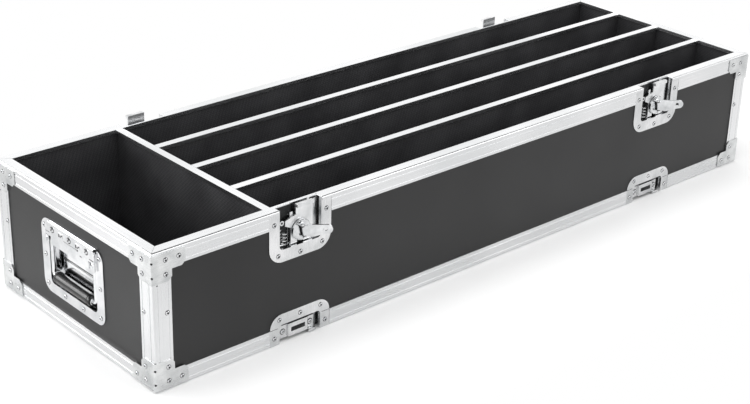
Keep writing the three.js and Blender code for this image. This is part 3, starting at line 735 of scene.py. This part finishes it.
@dataclass
class Latch(SideFitting):
    """A recessed butterfly latch: rivets, turned spindle and hollowed wing."""

    rivets: Spots = ((-47.0, 192.0), (47.0, 192.0), (-40.0, 142.0), (40.0, 142.0), (0.0, 138.0))
    spindle: Spot = (3.0, 171.0)
    tilt: float = 12.0
    disc_facets: int = 48
    facets: int = 20
    # Radius and height of the shaft, the disc's back, its raised rim and its hollowed face.
    disc_profile: Spots = (
        (0.0, -12.5), (5.0, -12.5), (5.0, -4.4), (15.4, -4.4), (16.0, -3.8), (16.0, -1.1), (15.5, -0.4),
        (14.7, -0.4), (14.3, -0.9), (13.1, -1.1), (0.0, -0.9),
    )
    pin_depth: float = -2.6
    ear_gap: float = 16.5
    ear_thickness: float = 3.2
    ear_radius: float = 3.1
    ear_root: float = 3.7
    ear_rounding: float = 0.35
    wing_rest: float = 45.0
    wing_root: Spot = (0.6, 8.0)
    wing_neck: float = 3.6
    wing_length: float = 42.0
    wing_half: float = 10.5
    wing_shoulder: float = 12.0
    wing_tip: float = 7.5
    wing_taper: float = 1.6
    wing_hole: float = 3.0
    wing_sheet: float = 2.2
    wing_crown: float = 1.6
    wing_steps: int = 8
    wing_cuts: int = 5
    # Radius and half length of the wing's barrel and of its pin.
    rods: Spots = ((2.3, 7.95), (1.2, 11.65))
    boss: Point = (-30.0, 5.0, 188.5)
    # A near-black disc painted as the shade in the boss's bore.
    boss_bore: Disc = (1.8, -0.4, 0.05, 16)
    # Near-black sheets painted as the shade in the pocket, round the spring, beside the hook's top and on the
    # right; the last plate is a raised zinc strip.
    base_plates: Plates = (
        ((-36.9, 12.3, 151.0), (-14.2, 12.85, 210.0), 0.15, 0),
        ((-14.3, 12.3, 196.5), (-5.6, 12.85, 210.0), 0.15, 0),
        ((25.4, 12.3, 158.0), (36.9, 12.85, 210.0), 0.15, 0),
        ((28.2, 9.8, 162.0), (33.9, 12.4, 208.5), 0.5, 1),
    )
    # A patch under the wing's hinge and a ring beside each ear, near black, painted as the shade in the
    # hinge's gaps.
    hinge_shade_patch: Plate = ((-4.3, 0.72, -8.1), (4.3, 1.2, 8.1), 0.15, 0)
    washer: Spots = ((1.3, 0.0), (3.1, 0.0), (3.1, 0.7), (1.3, 0.7))
    washer_levels: Spot = (-8.2, 7.5)

    def dress(self) -> None:
        """Adds the rivets, the near-black sheets painted as shade in the pocket, the disc painted as shade in
        the boss's bore, the spindle with painted shade at its hinge, and the wing.
        """
        label, place = self.label, self.place
        heads = spread(Fastener().shape(), self.rivets, FLANGE_FACE)
        fit(heads, f"latch_rivets_{label}", (RIVET, MANDREL_AND_SHADE), place)
        fit(plates(self.base_plates), f"latch_base_{label}", (PAINTED_SHADE, ZINC), place)
        fit(disc(*self.boss_bore), f"latch_boss_bore_{label}", (MANDREL_AND_SHADE,), place @ at(*self.boss))
        lean = self.tilt + (180 if self.side is Side.BACK else 0)
        x, z = self.spindle
        axis = place @ at(x, 0, z) @ turn(-lean, "Y")
        body, node = f"spindle_{label}", f"latch_spindle_{label}"
        fit(self.spindle_shape(), f"turned_{node}", (CHROME,), axis, body, node)
        fit(self.hinge_gaps(), f"hinge_gaps_{label}", (PAINTED_SHADE,), axis, body)
        pin = axis @ at(0, self.pin_depth, 0) @ turn(-self.wing_rest, "Z")
        node = f"latch_wing_{label}"
        fit(self.wing_shape(), f"hollowed_{node}", (CHROME,), pin, f"wing_{label}", node)

    def spindle_shape(self) -> Shape:
        """Builds the disc with its raised rim, the shaft behind it and the two ears of the wing's pin.

        Returns:
            The spindle about its own axis.
        """
        ear = bmesh.new()
        bmesh.ops.create_circle(ear, cap_ends=True, radius=self.ear_radius, segments=self.facets)
        for vert in ear.verts:
            if vert.co.y > 0:
                vert.co.y += self.ear_root
        top = new_verts(bmesh.ops.extrude_face_region(ear, geom=ear.faces[:]))
        bmesh.ops.translate(ear, verts=top, vec=(0, 0, self.ear_thickness))
        bmesh.ops.recalc_face_normals(ear, faces=ear.faces)
        round_edges(ear, sharp_edges(ear), self.ear_rounding)
        half = self.ear_gap / 2
        places = [at(0, self.pin_depth, z) for z in (-half - self.ear_thickness, half)]
        return gather(turned(self.disc_profile, self.disc_facets), ear, places)

    def hinge_gaps(self) -> Shape:
        """Builds the near-black patch painted as shade under the wing's hinge and the near-black ring painted
        as shade beside each ear.
        """
        places = [at(0, self.pin_depth, z) @ turn(90, "X") for z in self.washer_levels]
        return gather(plates([self.hinge_shade_patch]), turned(self.washer, self.facets), places)

    def wing_outline(self) -> list[Vector]:
        """Outline of the wing's lobe, from the lower neck round the tip to the upper neck.

        Returns:
            Points in the wing's own plane, with Z across.
        """
        (root, neck), start, steps = self.wing_root, self.wing_neck, self.wing_steps
        shoulder, half, tip = self.wing_shoulder, self.wing_half, self.wing_tip
        bend = self.wing_length - tip
        shares = [i / steps for i in range(steps + 1)]
        lower = [(root, -neck)]
        for t in shares:
            swell = neck + (half - neck) * math.sin(t * math.pi / 2)
            lower.append((start + (shoulder - start) * t, -swell))
        for t in shares[1:-1]:
            flare = half + (tip - half) * (1 - (1 - t) ** self.wing_taper)
            lower.append((shoulder + (bend - shoulder) * t, -flare))
        for t in shares:
            angle = (t - 1) * math.pi / 2
            lower.append((bend + tip * math.cos(angle), tip * math.sin(angle)))
        outline = lower + [(x, -z) for x, z in reversed(lower[:-1])]
        return [Vector((x, 0, z)) for x, z in outline]

    def wing_shape(self) -> Shape:
        """Builds the wing: a lobe hollowed across its width, with its hole, barrel and pin.

        Returns:
            The wing about its pin, lying along X.
        """
        outline = self.wing_outline()
        hole = Vector((self.wing_length - self.wing_tip - self.wing_hole, 0, 0))
        rim = [hole + (point - hole).normalized() * self.wing_hole for point in outline]
        shape = bmesh.new()
        rings = [[shape.verts.new(point) for point in points] for points in (outline, rim)]
        loops = [shape.edges.new(pair) for ring in rings for pair in zip(ring, ring[1:] + ring[:1])]
        bmesh.ops.bridge_loops(shape, edges=loops)
        rays = [edge for edge in shape.edges if edge not in loops]
        bmesh.ops.subdivide_edges(shape, edges=rays, cuts=self.wing_cuts, use_grid_fill=False)
        for vert in shape.verts:
            vert.co.y = -self.wing_crown * (vert.co.z / self.wing_half) ** 2
        bmesh.ops.solidify(shape, geom=shape.faces[:], thickness=self.wing_sheet)
        bmesh.ops.translate(shape, verts=shape.verts, vec=(0, -self.wing_sheet / 2, 0))
        for radius, half in self.rods:
            rod = bmesh.new()
            size = {"radius1": radius, "radius2": radius, "depth": 2 * half}
            bmesh.ops.create_cone(rod, cap_ends=True, segments=self.facets, **size)
            gather(shape, rod)
        return shape


@dataclass
class Keeper(SideFitting):
    """A half dish with its slotted catch: rivets and the two cross screws of the catch."""

    rivets: Spots = ((-47.0, 12.0), (47.0, 12.0), (-38.0, 39.5), (38.0, 39.5), (0.0, 39.5))
    screws: Spots = ((-29.25, 16.25), (21.0, 16.25))
    catch_face: float = 4.2
    # A near-black sheet painted as the shade in the pocket beside the catch, with a raised zinc strip on it.
    base_plates: Plates = (
        ((27.4, 12.3, 1.0), (36.8, 12.85, 29.8), 0.15, 0),
        ((30.0, 9.0, 2.5), (33.4, 12.4, 28.6), 0.5, 1),
    )
    # Strips painted near black as shade: the flange's joggle line at each side, under the top edge of the
    # catch's block, down beside the slot, and a ring round the slot.
    creases: Plates = (
        ((-54.9, 0.24, 26.2), (-40.5, 0.5, 26.9), 0.02, 0),
        ((40.5, 0.24, 26.2), (54.9, 0.5, 26.9), 0.02, 0),
        ((-37.2, 3.2, 26.7), (-21.2, 6.4, 27.6), 0.1, 0),
        ((-20.8, 2.2, 26.7), (26.6, 6.4, 27.4), 0.1, 0),
        ((14.8, 1.7, 6.4), (15.5, 4.3, 26.3), 0.05, 0),
        ((-15.3, 1.52, 12.7), (10.3, 1.7, 19.8), 0.05, 0),
    )
    tab: Plate = ((16.2, -0.4, 1.2), (30.0, 4.0, 6.0), 1.0, 0)

    def dress(self) -> None:
        """Adds the rivets, the screws, the near-black sheet painted as shade in the pocket behind the catch,
        the strips painted as shade along its folds, and its foot tab.
        """
        for name, shape, finishes in (
            ("rivets", spread(Fastener().shape(), self.rivets, FLANGE_FACE), (RIVET, MANDREL_AND_SHADE)),
            ("screws", spread(CrossScrew().shape(), self.screws, self.catch_face), (RIVET, MANDREL_AND_SHADE)),
            ("base", plates(self.base_plates), (PAINTED_SHADE, ZINC)),
            ("creases", plates(self.creases), (PAINTED_SHADE,)),
            ("tab", plates([self.tab]), (ZINC,)),
        ):
            fit(shape, f"keeper_{name}_{self.label}", finishes, self.place)


@dataclass
class Handle:
    """A recessed sprung handle: rivets, the bent bail, its grip and the ferrules at the grip's ends."""

    side: Side
    rivets: Spots = (
        (-71.5, 106.5), (71.5, 106.5), (-69.5, 60.0), (69.5, 60.0),
        (-71.5, 153.0), (71.5, 153.0), (-24.0, 55.5), (24.0, 55.5),
    )
    pivot: Spot = (3.2, 138.0)
    leg: float = 56.0
    rod: float = 3.5
    rod_sides: int = 20
    facets: int = 24
    grip_facets: int = 40
    bend: float = 7.0
    bend_steps: int = 6
    drop: float = 61.0
    stub: float = 39.0
    # Radius and height of the grip's half, from its bore over the rolled lip to the sleeve.
    grip_end: Spots = (
        (3.6, 47.0), (6.8, 47.0), (8.3, 46.5), (9.0, 45.0),
        (9.0, 42.4), (8.3, 41.8), (8.3, 41.0), (8.9, 40.2),
    )
    collar: Spots = ((3.4, 47.05), (6.1, 47.05), (6.1, 48.3), (5.4, 48.9), (3.4, 48.9))
    mark_half: Spot = (5.5, 3.25)
    mark_border: float = 1.1
    mark_skirt: float = 0.5
    marks_at: Spots = ((-22.25, 154.0), (22.25, 154.0))
    mark_face: float = -3.5
    # Three near-black bars on each tab, painted as the shade of its punched marks.
    strokes: Plates = (
        ((-4.6, -0.32, -3.0), (-2.6, 0.0, 3.0), 0.1, 1),
        ((-1.0, -0.32, -2.6), (1.0, 0.0, -0.6), 0.1, 1),
        ((2.4, -0.32, -0.4), (4.4, 0.0, 1.8), 0.1, 1),
    )
    studs: Spots = ((-44.5, 155.0), (0.0, 155.0), (44.5, 155.0))
    strip_face: float = -3.2
    stud_top: float = -5.0
    # A near-black ring round each stud and a disc in its head, painted as shade.
    stud_shade_ring: Spots = ((3.6, -0.3), (4.9, -0.3), (4.9, 0.06), (3.6, 0.06))
    stud_bore_shade: Disc = (1.5, -0.3, 0.05, 16)
    # Strips painted near black as shade behind the bail's legs at their pivots and along the strip's folds,
    # and a raised zinc rib with a strip of painted shade above and below it.
    creases: Plates = (
        ((-61.0, 7.2, 126.0), (-50.0, 7.8, 144.0), 0.2, 0),
        ((34.0, 7.2, 128.0), (61.0, 7.8, 143.0), 0.2, 0),
        ((-15.0, -3.26, 147.8), (21.0, -3.0, 148.4), 0.05, 0),
        ((20.0, -3.3, 146.7), (23.0, -3.0, 149.1), 0.1, 0),
        ((27.0, -3.3, 141.0), (32.0, -3.0, 142.4), 0.1, 0),
        ((-62.6, -3.26, 148.0), (-52.0, -3.0, 148.9), 0.05, 0),
        ((52.0, -3.26, 146.0), (62.6, -3.0, 147.4), 0.05, 0),
        ((-44.0, 12.3, 104.8), (50.0, 12.85, 106.0), 0.05, 0),
        ((-44.0, 11.7, 106.0), (50.0, 12.85, 107.6), 0.4, 1),
        ((-44.0, 12.5, 107.6), (50.0, 12.85, 108.2), 0.05, 0),
    )

    def dress(self) -> None:
        """Adds the rivets, the bail, the grip and its ferrules, and what is pressed into the dish, with its
        marks, stud rings and folds painted near black as their shade.
        """
        place, label = CASE.side(self.side), self.side.label
        for name, shape, finishes in (
            ("rivets", spread(Fastener().shape(), self.rivets, FLANGE_FACE), (RIVET, MANDREL_AND_SHADE)),
            ("marks", spread(self.mark(), self.marks_at, self.mark_face), (ZINC, MANDREL_AND_SHADE)),
            ("stud_shade_rings", self.stud_shade_rings(), (MANDREL_AND_SHADE,)),
            ("creases", plates(self.creases), (PAINTED_SHADE, ZINC)),
        ):
            fit(shape, f"handle_{name}_{label}", finishes, place)
        pivot = place @ at(0, *self.pivot)
        bar = pivot @ at(0, 0, -self.drop) @ turn(90, "Z")
        body, node = f"bail_{label}", f"handle_bail_{label}"
        fit(self.bail(), f"bent_{node}", (CHROME,), pivot, body, node)
        node = f"handle_grip_{label}"
        fit(self.grip(), f"moulded_{node}", (RUBBER,), bar, body, node)
        fit(self.ferrules(), f"grip_ferrules_{label}", (CHROME,), bar, body)

    def bail(self) -> Shape:
        """Bends a round rod to a U with its pin ends turned inward.

        Returns:
            The bail about its pivot, hanging down.
        """
        shape = bmesh.new()
        bmesh.ops.create_circle(shape, cap_ends=True, radius=self.rod, segments=self.rod_sides)
        bmesh.ops.transform(shape, matrix=at(-self.stub, 0, 0) @ turn(90, "Y"), verts=shape.verts)
        shape.faces.ensure_lookup_table()
        end = shape.faces[0]
        reach, low, high = self.leg - self.bend, self.bend - self.drop, -self.bend
        travels = []
        for straight, centre in (
            ((self.stub - reach, 0, 0), (-reach, 0, high)),
            ((0, 0, low - high), (-reach, 0, low)),
            ((2 * reach, 0, 0), (reach, 0, low)),
            ((0, 0, high - low), (reach, 0, high)),
        ):
            there = at(*centre)
            bend = there @ turn(-90 / self.bend_steps, "Y") @ there.inverted()
            travels += [at(*straight)] + [bend] * self.bend_steps
        for travel in [*travels, at(self.stub - reach, 0, 0)]:
            (end,) = bmesh.ops.extrude_discrete_faces(shape, faces=[end])["faces"]
            bmesh.ops.transform(shape, matrix=travel, verts=end.verts[:])
        return shape

    def grip(self) -> Shape:
        """Turns the moulded sleeve about its bar, with a rolled lip at each end."""
        near = [(radius, -height) for radius, height in self.grip_end]
        return turned([*near, *reversed(self.grip_end), near[0]], self.grip_facets)

    def ferrules(self) -> Shape:
        """Turns the two bright collars that hold the grip, about its bar."""
        near = [(radius, -height) for radius, height in self.collar]
        return gather(turned(near, self.facets), turned(self.collar, self.facets))

    def stud_shade_rings(self) -> Shape:
        """Turns the near-black ring painted as shade round each stud of the strip and the near-black disc
        painted as shade in its head's bore.
        """
        seats = spread(turned(self.stud_shade_ring, self.facets), self.studs, self.strip_face)
        return gather(seats, spread(disc(*self.stud_bore_shade), self.studs, self.stud_top))

    def mark(self) -> Shape:
        """Presses a small raised tab with three punched marks, painted near black as their shade, as there is
        between the strip's studs.

        Returns:
            The tab about its own middle.
        """
        wide, high = self.mark_half
        tab = upright_grid((-wide, wide), (-high, high), 0)
        bmesh.ops.inset_region(tab, faces=tab.faces[:], thickness=self.mark_border, depth=0.0)
        border = [edge for edge in tab.edges if edge.is_boundary]
        low = new_verts(bmesh.ops.extrude_edge_only(tab, edges=border))
        bmesh.ops.translate(tab, verts=low, vec=(0, self.mark_skirt, 0))
        return gather(tab, plates(self.strokes))


@dataclass
class Lining:
    """Glued lining of closed-cell foam: a sheet on each wall and one on the floor of each compartment."""

    face: float = 15.5
    wall_back: float = 11.85
    floor_back: float = 11.0
    top: float = 210.25
    butt: float = 0.3
    cross_wall: float = -436.0
    dividers: tuple[float, ...] = (95.0, 0.0, -95.0)
    half_board: float = 4.5
    pitch: float = 16.0
    wave: float = 0.12
    # What X and Z are divided by in the slow waves of a sheet's face.
    ripple: Four = (37.0, 29.0, 83.0, 41.0)
    rounding: float = 0.7
    pocket_back: float = 14.35
    pocket_edge: float = 0.1
    # Half width, lower end and upper end of the pocket behind each fitting.
    latch_pocket: Point = (39.2, 148.0, 211.25)
    keeper_pocket: Point = (39.2, 10.0, 32.4)
    handle_pocket: Point = (62.7, 61.8, 147.0)

    def dress(self) -> None:
        """Lays the wall sheets and the floor sheets."""
        places, fittings = (-HARDWARE_PLACE, HARDWARE_PLACE), (self.latch_pocket, self.keeper_pocket)
        long_pockets = [(x - half, x + half, low, high) for x in places for half, low, high in fittings]
        half, low, high = self.handle_pocket
        short_pockets = [(-half, half, low, high)]
        end, deep = (size / 2 - self.face - self.butt for size in (CASE.length, CASE.width))
        for side in Side:
            crosswise = side in (Side.LEFT, Side.RIGHT)
            reach = deep if crosswise else CASE.length / 2 - self.wall_back
            pockets = short_pockets if crosswise else long_pockets
            wall = self.sheet((-reach, reach), (self.floor_back, self.top), self.wall_back, pockets)
            self.lay(wall, f"lining_wall_{side.label}", CASE.side(side))
        flat = TO_METRES @ Matrix(((1, 0, 0, 0), (0, 0, 1, 0), (0, 1, 0, 0), (0, 0, 0, 1)))
        board = self.half_board + self.butt
        spans = [((-end, self.cross_wall - board), (-deep, deep))]
        edges = [deep + board, *self.dividers, -deep - board]
        spans += [((self.cross_wall + board, end), (b + board, a - board)) for a, b in zip(edges, edges[1:])]
        for number, (along, across) in enumerate(spans, 1):
            self.lay(self.sheet(along, across, self.floor_back, []), f"lining_floor_{number}", flat)

    def lay(self, shape: Shape, name: str, place: Matrix) -> None:
        piece = fit(shape, name, (FOAM,), place, replaces="foam_lining")

    def sheet(self, along: Spot, across: Spot, back: float, pockets: Sequence[Four]) -> Shape:
        """Cuts one sheet: a faintly uneven face, rounded edges, and pockets in its back.

        Args:
            along: where it starts and ends along X.
            across: where it starts and ends along Z.
            back: depth of its back.
            pockets: for each pocket its start and end along X, and its start and end along Z.

        Returns:
            The sheet in a frame whose Y is its depth.
        """
        columns, rows = (max(2, round((b - a) / self.pitch)) for a, b in (along, across))
        shape = upright_grid(along, across, back, columns, rows)
        for x0, x1, z0, z1 in pockets:
            cuts = [((x, 0, 0), (1, 0, 0)) for x in (x0, x0 + self.butt, x1 - self.butt, x1)]
            levels = [z for z in (z0, z0 + self.butt, z1 - self.butt, z1) if across[0] < z < across[1]]
            for spot, normal in cuts + [((0, 0, z), (0, 0, 1)) for z in levels]:
                everything = shape.verts[:] + shape.edges[:] + shape.faces[:]
                bmesh.ops.bisect_plane(shape, geom=everything, plane_co=spot, plane_no=normal)
        rear = shape.verts[:]
        front = set(new_verts(bmesh.ops.extrude_face_region(shape, geom=shape.faces[:])))
        a, b, c, d = self.ripple
        for vert in front:
            x, _, z = vert.co
            wave = math.sin(x / a) * math.cos(z / b) + math.sin(x / c + z / d)
            vert.co.y = self.face - self.wave * (2 + wave)
        edge = self.pocket_edge
        for vert in rear:
            x, _, z = vert.co
            if any(x0 + edge < x < x1 - edge and z0 + edge < z < z1 - edge for x0, x1, z0, z1 in pockets):
                vert.co.y = self.pocket_back
        round_edges(shape, [rim for rim in sharp_edges(shape) if set(rim.verts) <= front], self.rounding)
        return shape


@dataclass(frozen=True)
class Softbox:
    """A soft rectangular lamp: its place and target in metres, the size of its face and its watts."""

    name: str
    place: Point
    target: Point
    size: Spot
    power: float
    mirrored: bool = True

    def hang(self) -> None:
        """Adds the lamp to the scene."""
        data = bpy.data.lights.new(self.name, "AREA")
        data.shape, data.energy = "RECTANGLE", self.power
        data.size, data.size_y = self.size
        lamp = put(self.name, data)
        aim = (Vector(self.target) - Vector(self.place)).to_track_quat("-Z", "Y")
        lamp.matrix_world = at(*self.place) @ aim.to_matrix().to_4x4()
        lamp.visible_glossy = self.mirrored


@dataclass
class Studio:
    """Plain pale floor, soft light and the camera at the photograph's angle."""

    eye: Point = (-1.6636, -1.7570, 1.1516)
    heading: float = 42.24
    fall: float = 24.93
    roll: float = 1.657
    lens: float = 76.26
    sensor: float = 36.0
    clip: Spot = (0.1, 60.0)
    ambient: float = 0.52
    floor_colour: str = "#F4F4F4"
    floor_reach: float = 14.0
    # Half axes of the oval that keeps the shadow, and how far out, in them, white starts and is full.
    shadow_zone: Point = (0.8, 0.27, 1.0)
    fade: Spot = (0.85, 1.9)
    # What bright metal mirrors, by the rise of the ray: a dark ring gives domes and edges their shade.
    ceiling: Spots = (
        (0.0, 1.1), (0.4, 1.4), (0.58, 1.4), (0.67, 0.08), (0.9, 0.08), (0.96, 1.0), (1.0, 1.0),
    )
    lamps: tuple[Softbox, ...] = (
        Softbox("overhead_softbox", (-0.2, 0.1, 2.6), (0, 0, 0), (3.4, 2.6), 82.0, mirrored=False),
        Softbox("left_softbox", (-2.2, 1.0, 0.55), (-0.8, 0.1, 0), (1.6, 0.9), 20.0),
        Softbox("right_softbox", (1.3, -2.0, 1.3), (0.4, -0.2, 0), (1.6, 1.2), 10.0),
        Softbox("strip_light", (-2.0, 2.2, 1.5), (-0.65, 0, 0.08), (0.3, 1.6), 11.0),
    )

    def build(self) -> None:
        """Makes the floor, the light and the camera."""
        self.floor()
        self.world()
        for lamp in self.lamps:
            lamp.hang()
        self.camera()
        bpy.context.scene.view_settings.view_transform = "Standard"

    def camera(self) -> None:
        """Sets the camera from its heading, its fall below the horizon and its roll."""
        data = bpy.data.cameras.new("photograph_camera")
        data.lens, data.sensor_width, data.sensor_fit = self.lens, self.sensor, "HORIZONTAL"
        data.clip_start, data.clip_end = self.clip
        aim = turn(-self.heading, "Z") @ turn(90 - self.fall, "X") @ turn(self.roll, "Z")
        camera = put("photograph_camera", data)
        camera.matrix_world = at(*self.eye) @ aim
        bpy.context.scene.camera = camera

    def world(self) -> None:
        """Gives a white surround under a darker ring of ceiling, which bright metal mirrors at its edges."""
        world = bpy.data.worlds.new("pale_studio")
        tree = fresh_tree(world)
        way = add_node(tree, "ShaderNodeTexCoord").outputs["Generated"]
        rise = add_node(tree, "ShaderNodeSeparateXYZ", {0: way}).outputs["Z"]
        ramp = add_node(tree, "ShaderNodeValToRGB", {"Fac": rise})
        stops = ramp.color_ramp.elements
        while len(stops) < len(self.ceiling):
            stops.new(1.0)
        for stop, (rise_at, level) in zip(stops, self.ceiling):
            stop.position, stop.color = rise_at, (level, level, level, 1)
        light, mirrored, shown = (
            add_node(tree, "ShaderNodeBackground", {"Color": colour, "Strength": strength}).outputs[0]
            for colour, strength in ((WHITE, self.ambient), (ramp.outputs[0], 1.0), (WHITE, 1.0))
        )
        glossy = {0: any_ray(tree, "Is Glossy Ray"), 1: light, 2: mirrored}
        lit = add_node(tree, "ShaderNodeMixShader", glossy).outputs[0]
        direct = {0: any_ray(tree, "Is Camera Ray", "Is Transmission Ray"), 1: lit, 2: shown}
        both = add_node(tree, "ShaderNodeMixShader", direct)
        add_node(tree, "ShaderNodeOutputWorld", {"Surface": both.outputs[0]})
        bpy.context.scene.world = world

    def floor(self) -> None:
        """Lays the pale floor, which keeps the case's soft shadow and is white away from it."""
        shape = bmesh.new()
        bmesh.ops.create_grid(shape, x_segments=1, y_segments=1, size=self.floor_reach)
        mesh = bpy.data.meshes.new("studio_floor")
        shape.to_mesh(mesh)
        shape.free()
        material = bpy.data.materials.new("matt_white_sweep")
        tree = fresh_tree(material)
        seen = any_ray(tree, "Is Camera Ray", "Is Glossy Ray", "Is Transmission Ray")
        spot = {0: add_node(tree, "ShaderNodeTexCoord").outputs["Object"], 1: self.shadow_zone}
        scaled = {0: add_node(tree, "ShaderNodeVectorMath", spot, operation="DIVIDE").outputs[0]}
        away = add_node(tree, "ShaderNodeVectorMath", scaled, operation="LENGTH").outputs["Value"]
        limits = {"Value": away, "From Min": self.fade[0], "From Max": self.fade[1]}
        clear = add_node(tree, "ShaderNodeMapRange", limits, interpolation_type="SMOOTHSTEP").outputs[0]
        share = add_node(tree, "ShaderNodeMath", {0: seen, 1: clear}, operation="MULTIPLY").outputs[0]
        matt = add_node(tree, "ShaderNodeBsdfDiffuse", {"Color": linear(self.floor_colour)})
        white = add_node(tree, "ShaderNodeEmission", {"Color": WHITE, "Strength": 1.0})
        both = add_node(tree, "ShaderNodeMixShader", {0: share, 1: matt.outputs[0], 2: white.outputs[0]})
        add_node(tree, "ShaderNodeOutputMaterial", {"Surface": both.outputs[0]})
        mesh.materials.append(material)
        floor = put("studio_floor", mesh)


def dress_nodes(nodes: dict[str, bpy.types.Object]) -> None:
    """Gives every carried-over node its finish.

    Args:
        nodes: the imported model's nodes by name.
    """
    for name, node in nodes.items():
        material = material_of(next(finish for pattern, finish in CARRIED if fnmatch(name, pattern)))
        if not node.material_slots:
            node.data.materials.append(material)
        for slot in node.material_slots:
            slot.material = material
        log.info("%s is finished in %s", name, material.name)


def main() -> None:
    """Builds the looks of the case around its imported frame."""
    logging.basicConfig(level=logging.INFO, format="%(message)s")
    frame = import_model()
    dress_nodes(frame["nodes"])
    Edges().dress()
    for side in (Side.FRONT, Side.BACK):
        for number in (1, 2):
            Latch(side, number).dress()
            Keeper(side, number).dress()
    for side in (Side.LEFT, Side.RIGHT):
        Handle(side).dress()
    Lining().dress()
    Studio().build()


if __name__ == "__main__":
    main()
